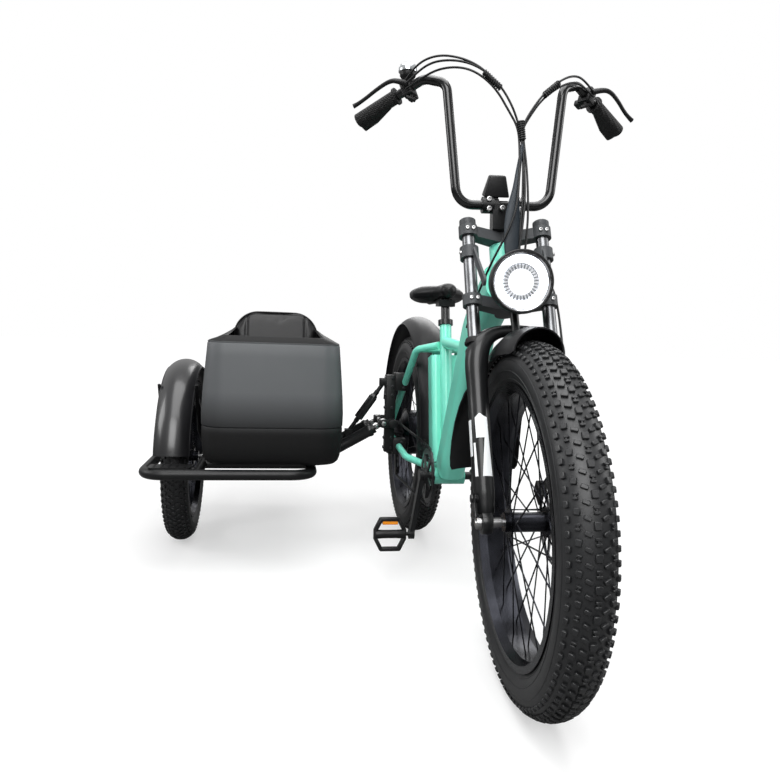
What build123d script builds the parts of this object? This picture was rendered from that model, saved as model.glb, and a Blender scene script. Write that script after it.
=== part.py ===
from build123d import *
import os
from math import acos, atan2, cos, hypot, pi, radians, sin, sqrt, tan

# Fat-tyre electric bicycle with a one-seat sidecar on the rider's right, in millimetres.
# x points forward from the middle of the wheelbase, y to the rider's left, z up from the ground.

# Clearances
seat_gap = 0.3          # between a piece and what it seats on
fit_gap = 0.1           # round a fixed bar in its bore or clamp
running_gap = 0.5       # round a pin, a shaft or a bearing

# Wheels
wheelbase = 1240
bike_tyre_radius = 370
bike_tyre_section = 52
bike_rim_half = 41
bike_spokes = 36
sidecar_tyre_radius = 289
sidecar_tyre_section = 47
sidecar_rim_half = 37
sidecar_spokes = 28
tyre_wall = 5
rim_wall = 3
bead_depth = 9
rim_depth = 22
spoke_side = 2.4
tyre_facets = 20
knob_height = 6
knob_share = 0.3                # of each facet's length
shoulder_angle = 55
carcass_angles = (13, 40, 70, 104, 128)

# Hubs, axles and brake discs
axle_radius = 7
front_hub_half = 50
front_hub_radius = 20
front_flange_radius = 31
front_flange_y = 38
motor_half = 44
motor_radius = 84
motor_flange_radius = 92
motor_flange_y = 31
sidecar_hub_half = 46
disc_radius = 90
disc_thickness = 2
front_disc_y = 54
rear_disc_y = 58
rear_caliper_angle = 24         # up from forward
front_caliper_angle = 148

# Steering and fork
head_angle = 69
fork_offset = 45
parked_steer = -4
leg_y = 86.5
stanchion_radius = 14.5
lower_leg_radius = 22
lower_leg_top = 371
leg_foot = 15
foot_radius = 24
foot_half = 11
arch_top = 440
lower_crown_s = 486
upper_crown_s = 657
crown_height = 26
crown_wall = 7
tongue_setback = 17
flap_stay_angle = 172
leg_top_s = 686
cap_radius = 18
steerer_radius = 14.3
head_tube_radius = 27
head_wall = 6

# Handlebar, grips and controls
bar_radius = 11
stem_y = 37
stem_width = 54
display_hoop_radius = bar_radius + 4
bar_clamp = (360, 1050)         # x, z of the bar's middle
bar_route = [                   # x, y, z of the left half's corners and end, and each bend's radius
    (bar_clamp[0], 109, bar_clamp[1], 42),
    (355, 137, 1322, 30),
    (318, 184, 1343, 40),
    (215, 329, 1275, 0),
]
grip_length = 118
grip_radius = 16.5
palm_rest = [(30, 3, 15), (78, 20, 10), (116, 22, 10)]    # along the grip, reach and radius of the wing
lever_reach = 48
left_lever_shape = (118, 0)     # length and turn round the bar
right_lever_shape = (92, -24)

# Cables: points of x, y and z for the straight-ahead fork
cable_radius = 2.6
trunk_radius = 6
right_cable_routes = [
    [(315, -228.2, 1328.8), (345, -205, 1345), (378, -176, 1356), (402, -140, 1356), (416, -100, 1349),
     (422, -64, 1330), (423, -28, 1299), (423, -1, 1256), (422, 16, 1218)],
    [(317.3, -226, 1320.1), (348, -196, 1333), (380, -166, 1343), (400, -132, 1345), (412, -98, 1338),
     (418, -66, 1319), (419, -34, 1289), (419, -8, 1247), (420, 14, 1212)],
    [(307.8, -228.6, 1338), (326, -214, 1360), (358, -190, 1373), (390, -158, 1371), (409, -122, 1361),
     (419, -88, 1345), (422, -60, 1326)],
]
left_cable_routes = [
    [(314.9, 228.4, 1328.8), (348, 190, 1350), (384, 150, 1343), (404, 112, 1322), (418, 72, 1288),
     (421, 42, 1246), (422, 24, 1212)],
    [(316.5, 226, 1320.2), (345, 186, 1338), (378, 148, 1330), (398, 108, 1308), (412, 68, 1275),
     (417, 40, 1234), (420, 24, 1206)],
]
trunk_route = [(422, 19, 1224), (423, 24, 1196), (427, 23, 1170), (436, 12, 1150), (441, 4, 1140), (441, 4, 1128.3)]
cable_wraps = [
    ((421, -66, 1326), (422, -27, 1293), 6.5),
    ((401, 111, 1316), (415, 74, 1284), 6.5),
    ((422, 19, 1222), (423, 24, 1180), 7.5),
]
sleeve_sections = [             # z, x, y, width, thickness
    (1128, 441, 4, 14, 12),
    (1045, 446, 9, 26, 9),
    (934, 459, 6, 42, 8),
    (868, 463.7, 5, 44, 8),
]
hose_start = [(459.5, 29.3, 925.9), (459, 46, 944), (450, 72, 960), (436, 104, 958)]
hose_on_leg = [                 # forward, left and along the left leg
    (4, 114, 636), (-6, 113, 560), (-6, 112, 290), (-8, 112, 225), (-14, 111, 175), (-30, 106, 135),
    (-44, 96, 106), (-49, 84, 86), (-49, 78.4, 81.9),
]
guide_start = [(443, -7, 1030), (435, -24, 1006), (424, -42, 966), (418, -54, 916), (420, -58, 872)]
guide_end = (-12, -58, 500)

# Headlamp
lamp_centre = (505, 862)        # x, z
lamp_radius = 68
lamp_depth = 74
lamp_bracket_s = 602
lamp_clamp_half = 14

# Frame
bottom_bracket = (-60, 320)     # x, z
shell_half = 48
shell_radius = 25
seat_tube_top = (-168, 775)
seat_tube_radius = 18
main_tube_width = 76
main_tube_depth = 96
main_tube_route = [(362, 873), (205, 768), (-38, 345)]    # x, z
main_tube_bend = 130
link_tube_radius = 17
link_tube_z = (722, 708)        # at the seat tube and at the main tube
stay_radius = 11.5
seat_stay_route = [             # x, y, z, bend radius
    (-170, 18, 712, 0),
    (-262, 71, 694, 60),
    (-362, 76, 609, 60),
    (-612, 93, 392, 0),
]
chain_stay_route = [
    (-62, 36, 322, 0),
    (-172, 43, 330, 60),
    (-262, 93, 340, 60),
    (-606, 94, 366, 0),
]
dropout_y = 93
dropout_thickness = 8
eyelet = (-20, 24)               # x, z of the rack eyelet from the rear axle
eyelet_radius = 2.5
stay_foot = (-24, 4)             # x, z of the fender stay from the rear axle
battery_depth = 68
battery_width = 88
battery_z = (362, 684)

# Seat
saddle_length = 262
saddle_width = 180
saddle_height = 46
saddle_top_z = 903
saddle_x = -250
seat_post_radius = 13.5

# Fenders: radius, half width, crown drop, first and last angle up from forward
fender_wall = 3
front_fender = (398, 58, 56, 89, 122)
front_flap = (424, 88, 34, 136, 192)
rear_fender = (441, 57, 30, 6, 168)
sidecar_fender = (342, 53, 28, 10, 176)
rear_stay_angle = 152           # up from forward

# Drive
chain_y = -63.8
chain_pitch = 12.7
ring_teeth = 44
sprocket_teeth = [28, 24, 22, 20, 18, 16, 14]
chain_sprocket = 3
sprocket_step = 4.6
chain_half_height = 3.2
chain_width = 6.6
roller_radius = 3.9
tooth_depth = 3
guide_pulley = (-612, 298)      # x, z
tension_pulley = (-588, 226)
pulley_radius = 18
crank_length = 174
crank_angle = -83.4             # of the right arm, up from forward
crank_arm_y = 80
crank_end_y = 110
spindle_radius = 12
pedal_size = 95
pedal_thickness = 22
pedal_y = 175
pedal_tilt = 84                 # of the parked pedals, from level
pedal_axle_radius = 6

# Link between the bicycle and the sidecar
link_x = -418
link_y = 128
link_width = 44
link_z = (330, 600)
arm_x = [-378, -500]
arm_eye = (-155, 435)           # y, z
arm_end = (-392, 302)
arm_radius = 17
turnbuckle_top = (-150, 575)    # y, z
turnbuckle_foot_y = -272

# Sidecar frame
sidecar_wheel_x = -530
sidecar_wheel_y = -833
rail_radius = 16
cross_radius = 15
rail_z = 306
rail_front_x = -128
rail_rear_x = -930
rail_seam_x = -620
outer_rail_y = -905
middle_rail_y = -748
inner_rail_y = -405
corner_bend = 62
cross_x = [-300, -720]
step_size = (60, 124)           # along x and y
step_thickness = 4
fender_stay_angles = (55, 125)
fender_stay_radius = 5

# Sidecar tub: each section's z at the front, z at the rear, half width at the front and
# at the rear, front x, rear x and corner radius
tub_y = -527
tub_wall = 6
tub_sections = [
    (330, 330, 140, 140, -176, -862, 60),
    (352, 352, 182, 182, -140, -890, 74),
    (398, 398, 205, 205, -112, -908, 80),
    (462, 462, 214, 214, -100, -920, 76),
    (702, 716, 198, 198, -124, -905, 56),
    (722, 756, 152, 172, -131, -885, 34),
]
opening_rear_x = -712
cushion_size = (330, 296, 92)   # along x, y and z
seat_base = (300, 240, 360)     # length, width and top z
cushion_x = -455
backrest_width = 318
backrest_thickness = 66
backrest_foot = (-600, 452.9)   # x, z
backrest_height = 365
backrest_lean = 9

# Positions that follow
front_axle = Vector(wheelbase / 2, 0, bike_tyre_radius)
rear_axle = Vector(-wheelbase / 2, 0, bike_tyre_radius)
sidecar_axle = Vector(sidecar_wheel_x, sidecar_wheel_y, sidecar_tyre_radius)
crank_axis = Vector(bottom_bracket[0], 0, bottom_bracket[1])
leg_direction = Vector(-cos(radians(head_angle)), 0, sin(radians(head_angle)))
leg_normal = Vector(sin(radians(head_angle)), 0, cos(radians(head_angle)))
fork_plane = Plane(origin=front_axle, x_dir=leg_normal, z_dir=leg_direction)
steering_axis = Axis(front_axle - leg_normal * fork_offset, leg_direction)
head_low_s = lower_crown_s + crown_height / 2 + running_gap
head_high_s = upper_crown_s - crown_height / 2 - running_gap


def fork_point(forward, left, along):
    """Point of the straight-ahead fork, from its distance forward, left and up the legs."""
    return front_axle + leg_normal * forward + Vector(0, left, 0) + leg_direction * along


def both_sides(shape):
    """A piece and its mirror image on the other side of the bicycle."""
    return [shape, mirror(shape, about=Plane.XZ)]


def rod(start, end, radius):
    """Round bar between two points."""
    line = Vector(*end) - Vector(*start)
    return extrude(Plane(origin=start, z_dir=line) * Circle(radius), line.length)


def flat_bar(start, end, width, thickness, across):
    """Flat bar between two points, its width along the direction called across."""
    line = Vector(*end) - Vector(*start)
    return extrude(Plane(origin=start, x_dir=across, z_dir=line) * Rectangle(width, thickness), line.length)


def bent_tube(route, radius):
    """Round tube through corners of x, y, z and bend radius."""
    points = [corner[:3] for corner in route]
    path = FilletPolyline(*points, radius=[corner[3] for corner in route[1:-1]])
    return sweep(Plane(origin=path @ 0, z_dir=path % 0) * Circle(radius), path=path)


def cross_pin(x, z, radius, y_from, y_to):
    """Round bar across the bicycle from y_from to y_to."""
    return rod((x, y_from, z), (x, y_to, z), radius)


def ring_about_y(outer, inner, y_from, y_to):
    """Ring or tube about the y axis."""
    outline = Pos((outer + inner) / 2, (y_from + y_to) / 2) * Rectangle(outer - inner, abs(y_to - y_from))
    return revolve(outline, Axis.Y)


def rim_edge_radius(radius, section, rim_half):
    """Radius at which a tyre meets the edges of its rim."""
    return radius - section - sqrt(section**2 - rim_half**2)


def faceted_ring(outline, count):
    """Ring of flat facets about the y axis from a closed outline of radius and distance along y."""
    turns = [Vector(cos(2 * pi * number / count), 0, sin(2 * pi * number / count)) for number in range(count)]
    faces = []
    for (near, near_y), (far, far_y) in zip(outline, outline[1:] + outline[:1]):
        for here, there in zip(turns, turns[1:] + turns[:1]):
            low, high = Vector(0, near_y, 0), Vector(0, far_y, 0)
            corners = [here * near + low, there * near + low, there * far + high, here * far + high]
            faces.append(make_face(Polyline(*corners, close=True)).face())
    return Solid(Shell(faces))


def tyre(radius, section, rim_half):
    """Hollow fat tyre about the y axis: a faceted carcass with knobs out to its full radius."""
    edge = rim_edge_radius(radius, section, rim_half)
    centre = radius - section
    skin = section - knob_height
    spread = 1 / cos(pi / tyre_facets)
    bead_y = rim_half - rim_wall - seat_gap
    half = []
    for angle in carcass_angles:
        half.append(((centre + skin * cos(radians(angle))) * spread, skin * sin(radians(angle))))
    half += [(edge * spread, bead_y), (edge - bead_depth + 2, bead_y), (edge - bead_depth + 2, bead_y - 4),
             (edge + 14, bead_y - 4)]
    for angle in (60, 25):
        half.append((centre + (skin - tyre_wall) * cos(radians(angle)), (skin - tyre_wall) * sin(radians(angle))))
    shape = faceted_ring(half + [(r, -y) for r, y in reversed(half)], tyre_facets)
    knobs = []
    for number in range(tyre_facets):
        turn = Rot(0, 360 * (number + 0.5) / tyre_facets, 0)
        length = knob_share * 2 * pi * radius / tyre_facets
        knobs.append(turn * Pos(radius - knob_height, 0, 0) * Box(2 * knob_height, 26, length))
        lean = shoulder_angle if number % 2 else -shoulder_angle
        knobs.append(turn * Pos(centre, 0, 0) * Rot(0, 0, lean) * Pos(skin + 1.5, 0, 0) * Box(8, 22, 1.3 * length))
    return Rot(0, 180 / tyre_facets, 0) * (shape + knobs)


def rim(radius, section, rim_half):
    """Wide single-wall rim about the y axis."""
    edge = rim_edge_radius(radius, section, rim_half) - seat_gap
    half = [
        (edge, rim_half),
        (edge, rim_half - rim_wall),
        (edge - bead_depth - 2, rim_half - rim_wall),
        (edge - bead_depth - 7, rim_half - 16),
    ]
    under = [(edge - rim_depth, rim_half - 18), (edge - rim_depth + 8, rim_half)]
    lower = [(r, -y) for r, y in reversed(half)]
    outline = half + lower + [(r, -y) for r, y in reversed(under)] + under
    return revolve(make_face(Polyline(*outline, close=True)), Axis.Y)


def spokes(count, hub_radius, hub_y, rim_radius, lean):
    """Crossed spokes from both hub flanges to the rim, leaning by an angle each way."""
    bars = []
    for number in range(count):
        turn = 360 * number / count
        side = 1 if number % 2 else -1
        swing = lean if number % 4 < 2 else -lean
        inner_y = side * (hub_y + (1.5 if swing > 0 else -1.5))
        hub_end = Vector(hub_radius, 0, 0).rotate(Axis.Y, turn + swing) + Vector(0, inner_y, 0)
        rim_end = Vector(rim_radius, 0, 0).rotate(Axis.Y, turn) + Vector(0, side * 9, 0)
        bars.append(flat_bar(hub_end, rim_end, spoke_side, spoke_side, (0, 1, 0)))
    return bars


def spoked_wheel(radius, section, rim_half, count, hub, hub_radius, hub_y):
    """Rim and spokes fused to a hub."""
    hoop = rim(radius, section, rim_half)
    spoke_end = rim_edge_radius(radius, section, rim_half) - rim_depth + 4
    lean = 62 if hub_radius < motor_radius else 34
    return hub + hoop + spokes(count, hub_radius - 3, hub_y, spoke_end, lean)


def flanged_hub(half, barrel_radius, flange_radius, flange_y):
    """Plain hub about the y axis, bored for its axle."""
    hub = ring_about_y(barrel_radius, axle_radius + running_gap, -half, half)
    for side in (-1, 1):
        hub += ring_about_y(flange_radius, barrel_radius - 1, side * flange_y - 2, side * flange_y + 2)
    return hub


def motor_hub():
    """Drum of the rear hub motor with its end covers and spoke flanges."""
    outline = [
        (axle_radius + running_gap, -motor_half),
        (motor_radius - 22, -motor_half),
        (motor_radius, -motor_flange_y),
        (motor_radius, motor_flange_y),
        (motor_radius - 22, motor_half),
        (axle_radius + running_gap, motor_half),
    ]
    drum = revolve(make_face(Polyline(*outline, close=True)), Axis.Y)
    for side in (-1, 1):
        edge = side * motor_flange_y
        drum += ring_about_y(motor_flange_radius, motor_radius - 1, edge - 2, edge + 2)
    return drum


def brake_disc(y, hub_half):
    """Vented brake disc with six arms and the carrier that seats on the hub's end."""
    half = disc_thickness / 2
    plate = Circle(disc_radius) - Circle(disc_radius - 15)
    for number in range(6):
        plate += Rot(0, 0, 60 * number + 12) * Pos(disc_radius / 2 + 6, 0) * Rectangle(disc_radius - 34, 9)
    plate += Circle(27)
    plate -= Circle(axle_radius + running_gap)
    for number in range(24):
        plate -= Rot(0, 0, 15 * number) * Pos(disc_radius - 7.5, 0) * Circle(2.6)
    disc = Pos(0, y + half, 0) * Rot(90, 0, 0) * extrude(plate, disc_thickness)
    return disc + ring_about_y(25, axle_radius + running_gap, hub_half, y)


def arc_shell(radius, half, drop, start, end):
    """Fender shell about the y axis between two angles up from forward."""
    outline = fender_outline(radius, half, drop)
    return Rot(0, -end, 0) * revolve(outline, Axis.Y, end - start)


def fender_outline(radius, half, drop):
    """Curved cross-section of a fender: radius outward, width across."""
    crown = (half**2 + drop**2) / (2 * drop)
    hoop = Pos(radius - crown, 0) * (Circle(crown) - Circle(crown - fender_wall))
    return hoop & (Pos(radius - drop / 2, 0) * Rectangle(drop, 3 * half))


def front_fender_shell():
    """Front fender: narrow between the legs, flared behind them, with a rear flap."""
    radius, half, drop, start, end = front_fender
    flap_radius, flap_half, flap_drop, flap_start, flap_end = front_flap
    shell = arc_shell(radius, half, drop, start, end)
    shell += arc_shell(flap_radius, flap_half, flap_drop, flap_start, flap_end)
    narrow = Rot(0, -end, 0) * fender_outline(radius, half, drop)
    wide = Rot(0, -flap_start, 0) * fender_outline(flap_radius, flap_half, flap_drop)
    return shell + loft([narrow.face(), wide.face()], ruled=True)


def front_fender_stays():
    """Tongue under the lower crown and the two stays to the fork's feet."""
    radius = front_fender[0]
    top = fork_point(-tongue_setback, 0, lower_crown_s - crown_height / 2 - fit_gap)
    foot = fork_point(-tongue_setback, 0, sqrt(radius**2 - tongue_setback**2) + seat_gap)
    pieces = [flat_bar(foot, top, 34, 5, (0, 1, 0))]
    flap_radius, flap_half, flap_drop, _, _ = front_flap
    reach = flap_radius - flap_drop + 6
    way = Vector(cos(radians(flap_stay_angle)), 0, sin(radians(flap_stay_angle)))
    start = front_axle + way * (foot_radius + 3 + seat_gap) + Vector(0, leg_y, 0)
    end = front_axle + way * reach + Vector(0, flap_half + 3 + seat_gap, 0)
    return pieces + both_sides(rod(start, end, 3))


def rear_fender_shell():
    """Rear fender over the rear wheel with its two stays from the dropouts."""
    radius, half, drop, _, _ = rear_fender
    way = Vector(cos(radians(rear_stay_angle)), 0, sin(radians(rear_stay_angle)))
    start = rear_axle + Vector(stay_foot[0], dropout_y + dropout_thickness / 2 + 4 + seat_gap, stay_foot[1])
    end = rear_axle + way * (radius - drop + 8) + Vector(0, half + 3 + seat_gap, 0)
    return [Pos(rear_axle) * arc_shell(*rear_fender)] + both_sides(rod(start, end, 3))


def crown(height_s):
    """Fork crown: leg clamps and a steerer boss joined by a curved web."""
    clamp = stanchion_radius + crown_wall
    outline = Pos(-fork_offset, 0) * Circle(steerer_radius + 11)
    outline += make_hull((Pos(-fork_offset + 6, 0) * Circle(17) + Pos(-6, leg_y - 14) * Circle(13)).edges())
    outline += make_hull((Pos(-fork_offset + 6, 0) * Circle(17) + Pos(-6, 14 - leg_y) * Circle(13)).edges())
    outline += [Pos(0, side * leg_y) * Circle(clamp) for side in (-1, 1)]
    outline -= [Pos(0, side * leg_y) * Circle(stanchion_radius + fit_gap) for side in (-1, 1)]
    plate = extrude(outline, crown_height / 2, both=True)
    return fork_plane.location * Pos(0, 0, height_s) * plate


def fork_crowns():
    """Both crowns with the steerer between them."""
    steerer = rod(fork_point(-fork_offset, 0, lower_crown_s), fork_point(-fork_offset, 0, upper_crown_s + 20),
                  steerer_radius)
    return crown(lower_crown_s) + crown(upper_crown_s) + steerer


def fork_stanchions():
    """Two polished upper legs with their top caps."""
    legs = []
    for side in (-1, 1):
        leg = rod(fork_point(0, side * leg_y, lower_leg_top), fork_point(0, side * leg_y, leg_top_s - 4),
                  stanchion_radius)
        cap_foot = fork_point(0, side * leg_y, upper_crown_s + crown_height / 2 + fit_gap)
        legs.append(leg + rod(cap_foot, fork_point(0, side * leg_y, leg_top_s), cap_radius))
    return legs


def fork_lowers():
    """Lower legs with their seals, feet and the arch over the tyre."""
    legs = Part()
    for side in (-1, 1):
        leg = Pos(0, side * leg_y, leg_foot) * extrude(Circle(lower_leg_radius), lower_leg_top - leg_foot)
        seal = Pos(0, side * leg_y, lower_leg_top) * extrude(Circle(lower_leg_radius - 2), 10)
        foot = Pos(2, side * leg_y, 0) * Rot(90, 0, 0) * extrude(Circle(foot_radius), foot_half, both=True)
        legs += leg + seal + foot
    low = lower_leg_top - 6
    outer = ThreePointArc((-leg_y - 14, low), (0, arch_top), (leg_y + 14, low))
    inner = ThreePointArc((-leg_y + 14, low), (0, arch_top - 26), (leg_y - 14, low))
    ends = [Line((-leg_y - 14, low), (-leg_y + 14, low)), Line((leg_y - 14, low), (leg_y + 14, low))]
    band = make_face([outer.edge(), inner.edge()] + [end.edge() for end in ends])
    arch = Plane.YZ * band
    legs += Pos(4, 0, 0) * extrude(arch, 10, both=True)
    bore = Rot(90, 0, 0) * extrude(Circle(axle_radius + fit_gap), 2 * leg_y, both=True)
    shape = legs - bore
    for side in (-1, 1):
        shape -= Pos(0, side * leg_y, lower_leg_top - seat_gap) * extrude(Circle(stanchion_radius + fit_gap), 90)
    return fork_plane.location * shape


def axle_bar(centre, nut_radius, nut_y, spacer_from, spacer_to):
    """Wheel axle across the bicycle, with a nut outside each mount and a spacer inside it."""
    bar = cross_pin(0, 0, axle_radius, -nut_y - 12, nut_y + 12)
    for side in (-1, 1):
        bar += cross_pin(0, 0, nut_radius, side * nut_y, side * (nut_y + 9))
        bar += cross_pin(0, 0, axle_radius + 4, side * spacer_from, side * spacer_to)
    return Pos(centre) * bar


def handlebar():
    """High handlebar: one bent tube from grip to grip."""
    right = [(x, -y, z, bend) for x, y, z, bend in reversed(bar_route)]
    return bent_tube(right + bar_route, bar_radius)


def stem():
    """Broad riser on the upper crown with a clamp for the bar at each side."""
    base = upper_crown_s + crown_height / 2
    x, z = bar_clamp
    pieces = Part()
    pieces += flat_bar(fork_point(-22, 0, base - 4), (x, 0, z), stem_width, 30, (0, 1, 0))
    for side in (-1, 1):
        pieces += cross_pin(x, z, bar_radius + 8, side * (stem_y - 13), side * (stem_y + 13))
    cut = fork_plane.location * Pos(-22, 0, base - 20) * Box(90, 200, 40)
    pieces -= cut
    pieces -= cross_pin(x, z, bar_radius + fit_gap, -stem_y - 20, stem_y + 20)
    pieces -= cross_pin(x, z, display_hoop_radius + fit_gap, -24, -11.6)
    return pieces - fork_crowns()


def grip_plane():
    """Plane at the inner end of the left grip, z out along the bar and x forward."""
    end = Vector(*bar_route[-1][:3])
    bend = Vector(*bar_route[-2][:3])
    along = (end - bend).normalized()
    forward = Vector(0, 0, 1).cross(along) * -1
    return Plane(origin=end - along * (grip_length - 4), x_dir=forward, z_dir=along)


def left_grip():
    """Rubber grip with a closed flanged end, over the end of the bar."""
    body = extrude(Circle(grip_radius), grip_length) + extrude(Circle(grip_radius + 4), 5)
    sections = []
    for along, reach, radius in palm_rest:
        tip = Pos(-0.77 * reach, 0.64 * reach) * Circle(radius)
        sections.append(Pos(0, 0, along) * make_hull((Circle(grip_radius) + tip).edges()).face())
    body += loft(sections, ruled=True)
    body -= extrude(Circle(bar_radius + fit_gap), grip_length - 4 + fit_gap)
    return grip_plane().location * body


def lever(length, turn):
    """Left-hand brake lever: bar clamp, master body and the bent blade, turned round the bar."""
    clamp = Pos(0, 0, -26) * extrude(Circle(bar_radius + 6), 18)
    body = Pos(bar_radius + 12, 0, -18) * Box(20, 17, 34)
    blade = Rot(0, 0, turn) * bent_tube([
        (bar_radius + 14, 0, -12, 0),
        (lever_reach + 4, 0, 12, 14),
        (lever_reach, 0, length - 26, 60),
        (lever_reach + 10, 0, length, 0),
    ], 5)
    shape = clamp + body + blade
    return grip_plane().location * (shape - Pos(0, 0, -30) * extrude(Circle(bar_radius + fit_gap), 60))


def display():
    """Ride display on its arm above the bar's middle."""
    x, z = bar_clamp
    case = Pos(x + 1, -22, z + 44) * Rot(0, -18, 0) * fillet(Box(40, 44, 44).edges(), 5)
    arm = flat_bar((x, -17.8, z + bar_radius), (x + 2, -17.8, z + 32), 11, 8, (0, 1, 0))
    hoop = cross_pin(x, z, display_hoop_radius, -23.6, -12)
    return case + arm + hoop - cross_pin(x, z, bar_radius + fit_gap, -50, 50)


def bell():
    """Dome bell clamped on the right side of the bar."""
    plane = mirrored_grip_plane()
    clamp = Pos(0, 0, -52) * extrude(Circle(bar_radius + 4) - Circle(bar_radius + fit_gap), 12)
    post = rod((0, bar_radius + 2, -46), (0, 36, -46), 5)
    dome = Pos(0, 32, -46) * Rot(-90, 0, 0) * (Sphere(24) & Pos(0, 0, 12) * Box(50, 50, 24))
    return plane.location * (clamp + post + dome)


def mirrored_grip_plane():
    """Plane at the inner end of the right grip, z out along the bar and y up."""
    plane = grip_plane()
    origin = Vector(plane.origin.X, -plane.origin.Y, plane.origin.Z)
    along = Vector(plane.z_dir.X, -plane.z_dir.Y, plane.z_dir.Z)
    forward = Vector(plane.x_dir.X, -plane.x_dir.Y, plane.x_dir.Z)
    flat = Plane(origin=origin, x_dir=forward, z_dir=along)
    return flat if flat.y_dir.Z > 0 else Plane(origin=origin, x_dir=forward * -1, z_dir=along)


def cable(points, radius):
    """Round cable through points, each bend as wide as its neighbours leave room for."""
    route = [(*points[0], 0)]
    for before, here, after in zip(points, points[1:], points[2:]):
        arriving, leaving = Vector(*here) - Vector(*before), Vector(*after) - Vector(*here)
        turn = radians(arriving.get_angle(leaving))
        if turn < radians(2):
            continue
        bend = 0.49 * min(arriving.length, leaving.length) / tan(turn / 2)
        route.append((*here, min(bend, 400)))
    route.append((*points[-1], 0))
    tightest = min(row[3] for row in route[1:-1])
    print(f"cable of radius {radius}: tightest bend {tightest:.0f} mm")
    return bent_tube(route, radius)


def control_cables():
    """Cables from both levers into one wrapped trunk, the inner guide and the front brake hose."""
    trunk = cable(trunk_route, trunk_radius)
    for route in right_cable_routes + left_cable_routes:
        trunk += cable(route, cable_radius)
    for start, end, radius in cable_wraps:
        trunk += rod(start, end, radius)
    hose = [tuple(point) for point in hose_start]
    for forward, left, along in hose_on_leg:
        hose.append(tuple(fork_point(forward, left, along)))
    guide = [tuple(point) for point in guide_start] + [tuple(fork_point(*guide_end))]
    return [trunk, cable(hose, cable_radius), cable(guide, cable_radius)]


def cable_sleeve():
    """Flat tapered sleeve in front of the stem that gathers the cables behind the lamp."""
    sections = []
    for z, x, y, width, thickness in sleeve_sections:
        sections.append(Pos(x, y, z) * RectangleRounded(thickness, width, 3).face())
    return loft(sections, ruled=True)


def lamp_housing():
    """Bowl of the headlamp, open at the front, about the x axis."""
    outline = [
        (0, 0), (lamp_radius - 26, 0), (lamp_radius - 8, 14), (lamp_radius, 34),
        (lamp_radius, lamp_depth), (lamp_radius - 5, lamp_depth), (lamp_radius - 5, lamp_depth - 16),
        (0, lamp_depth - 16),
    ]
    bowl = revolve(make_face(Polyline(*outline, close=True)), Axis.Y)
    return lamp_location() * bowl


def lamp_location():
    """Back of the lamp: the local y axis points forward."""
    x, z = lamp_centre
    return Location((x - lamp_depth / 2, 0, z)) * Rot(0, 0, -90)


def lamp_lens():
    """Domed lens seated inside the housing's rim."""
    radius = lamp_radius - 5 - seat_gap
    base = lamp_depth - 16 + seat_gap
    arc = ThreePointArc((0, base + 18), (radius / 2, base + 16), (radius, base + 10))
    sides = Polyline((radius, base + 10), (radius, base), (0, base), (0, base + 18))
    return lamp_location() * revolve(make_face([arc.edge()] + list(sides.edges())), Axis.Y)


def lamp_bracket():
    """Clamps on the upper legs with an arm each to the lamp's sides."""
    x, z = lamp_centre
    pieces = Part()
    for side in (-1, 1):
        ring = Pos(0, side * leg_y, lamp_bracket_s) * extrude(
            Circle(stanchion_radius + 7), lamp_clamp_half, both=True)
        pieces += fork_plane.location * ring
        start = fork_point(stanchion_radius + 2, side * (leg_y - 6), lamp_bracket_s)
        end = Vector(x - 14, side * (lamp_radius + 3), z + 4)
        pieces += flat_bar(start, end, 18, 5, (0.3, 0, 1))
        pieces += cross_pin(x - 14, z + 4, 11, side * (lamp_radius + seat_gap), side * (lamp_radius + 6))
    for side in (-1, 1):
        pieces -= rod(fork_point(0, side * leg_y, lamp_bracket_s - 60), fork_point(0, side * leg_y, lamp_bracket_s + 60),
                      stanchion_radius + fit_gap)
    return pieces


def caliper(centre, disc_y, turn):
    """Brake caliper straddling a disc on the left side."""
    body = Pos(disc_radius - 8, 0, 0) * Box(44, 26, 30)
    body -= Pos(disc_radius - 16, 0, 0) * Box(46, disc_thickness + 10, 60)
    return Pos(centre) * Pos(0, disc_y, 0) * Rot(0, -turn, 0) * body


def front_caliper():
    """Front caliper with the tab that bolts it to the left leg."""
    body = caliper(front_axle, front_disc_y, front_caliper_angle)
    angle = radians(front_caliper_angle)
    reach = disc_radius + 2
    start = Vector(front_axle.X + reach * cos(angle), front_disc_y + 12, front_axle.Z + reach * sin(angle))
    end = fork_point(-lower_leg_radius + 4, leg_y - 8, 96)
    tab = flat_bar(start, end, 14, 30, (0, 1, 0))
    legs = rod(fork_point(0, leg_y, -20), fork_point(0, leg_y, lower_leg_top), lower_leg_radius)
    disc_room = Pos(front_axle) * cross_pin(0, 0, disc_radius + 3, front_disc_y - 6, front_disc_y + 6)
    return body + (tab - disc_room) - legs


def rear_caliper():
    """Rear caliper with its tab to the left chain stay."""
    body = caliper(rear_axle, rear_disc_y, rear_caliper_angle)
    way = Vector(cos(radians(rear_caliper_angle)), 0, sin(radians(rear_caliper_angle)))
    start = rear_axle + way * (disc_radius - 8) + Vector(0, rear_disc_y + 9, 0)
    end = Vector(start.X + 4, dropout_y, chain_stay_route[-1][2])
    tab = flat_bar(start, end, 34, 9, (1, 0, 0))
    stay = bent_tube(chain_stay_route, stay_radius + fit_gap)
    return body + tab - stay - rear_triangle()


def main_tube():
    """Bent main tube from the head to the bottom bracket."""
    points = [(x, 0, z) for x, z in main_tube_route]
    path = FilletPolyline(*points, radius=main_tube_bend)
    section = Plane(origin=path @ 0, x_dir=(0, 1, 0), z_dir=path % 0) * RectangleRounded(
        main_tube_width, main_tube_depth, 26)
    return sweep(section, path=path)


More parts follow.
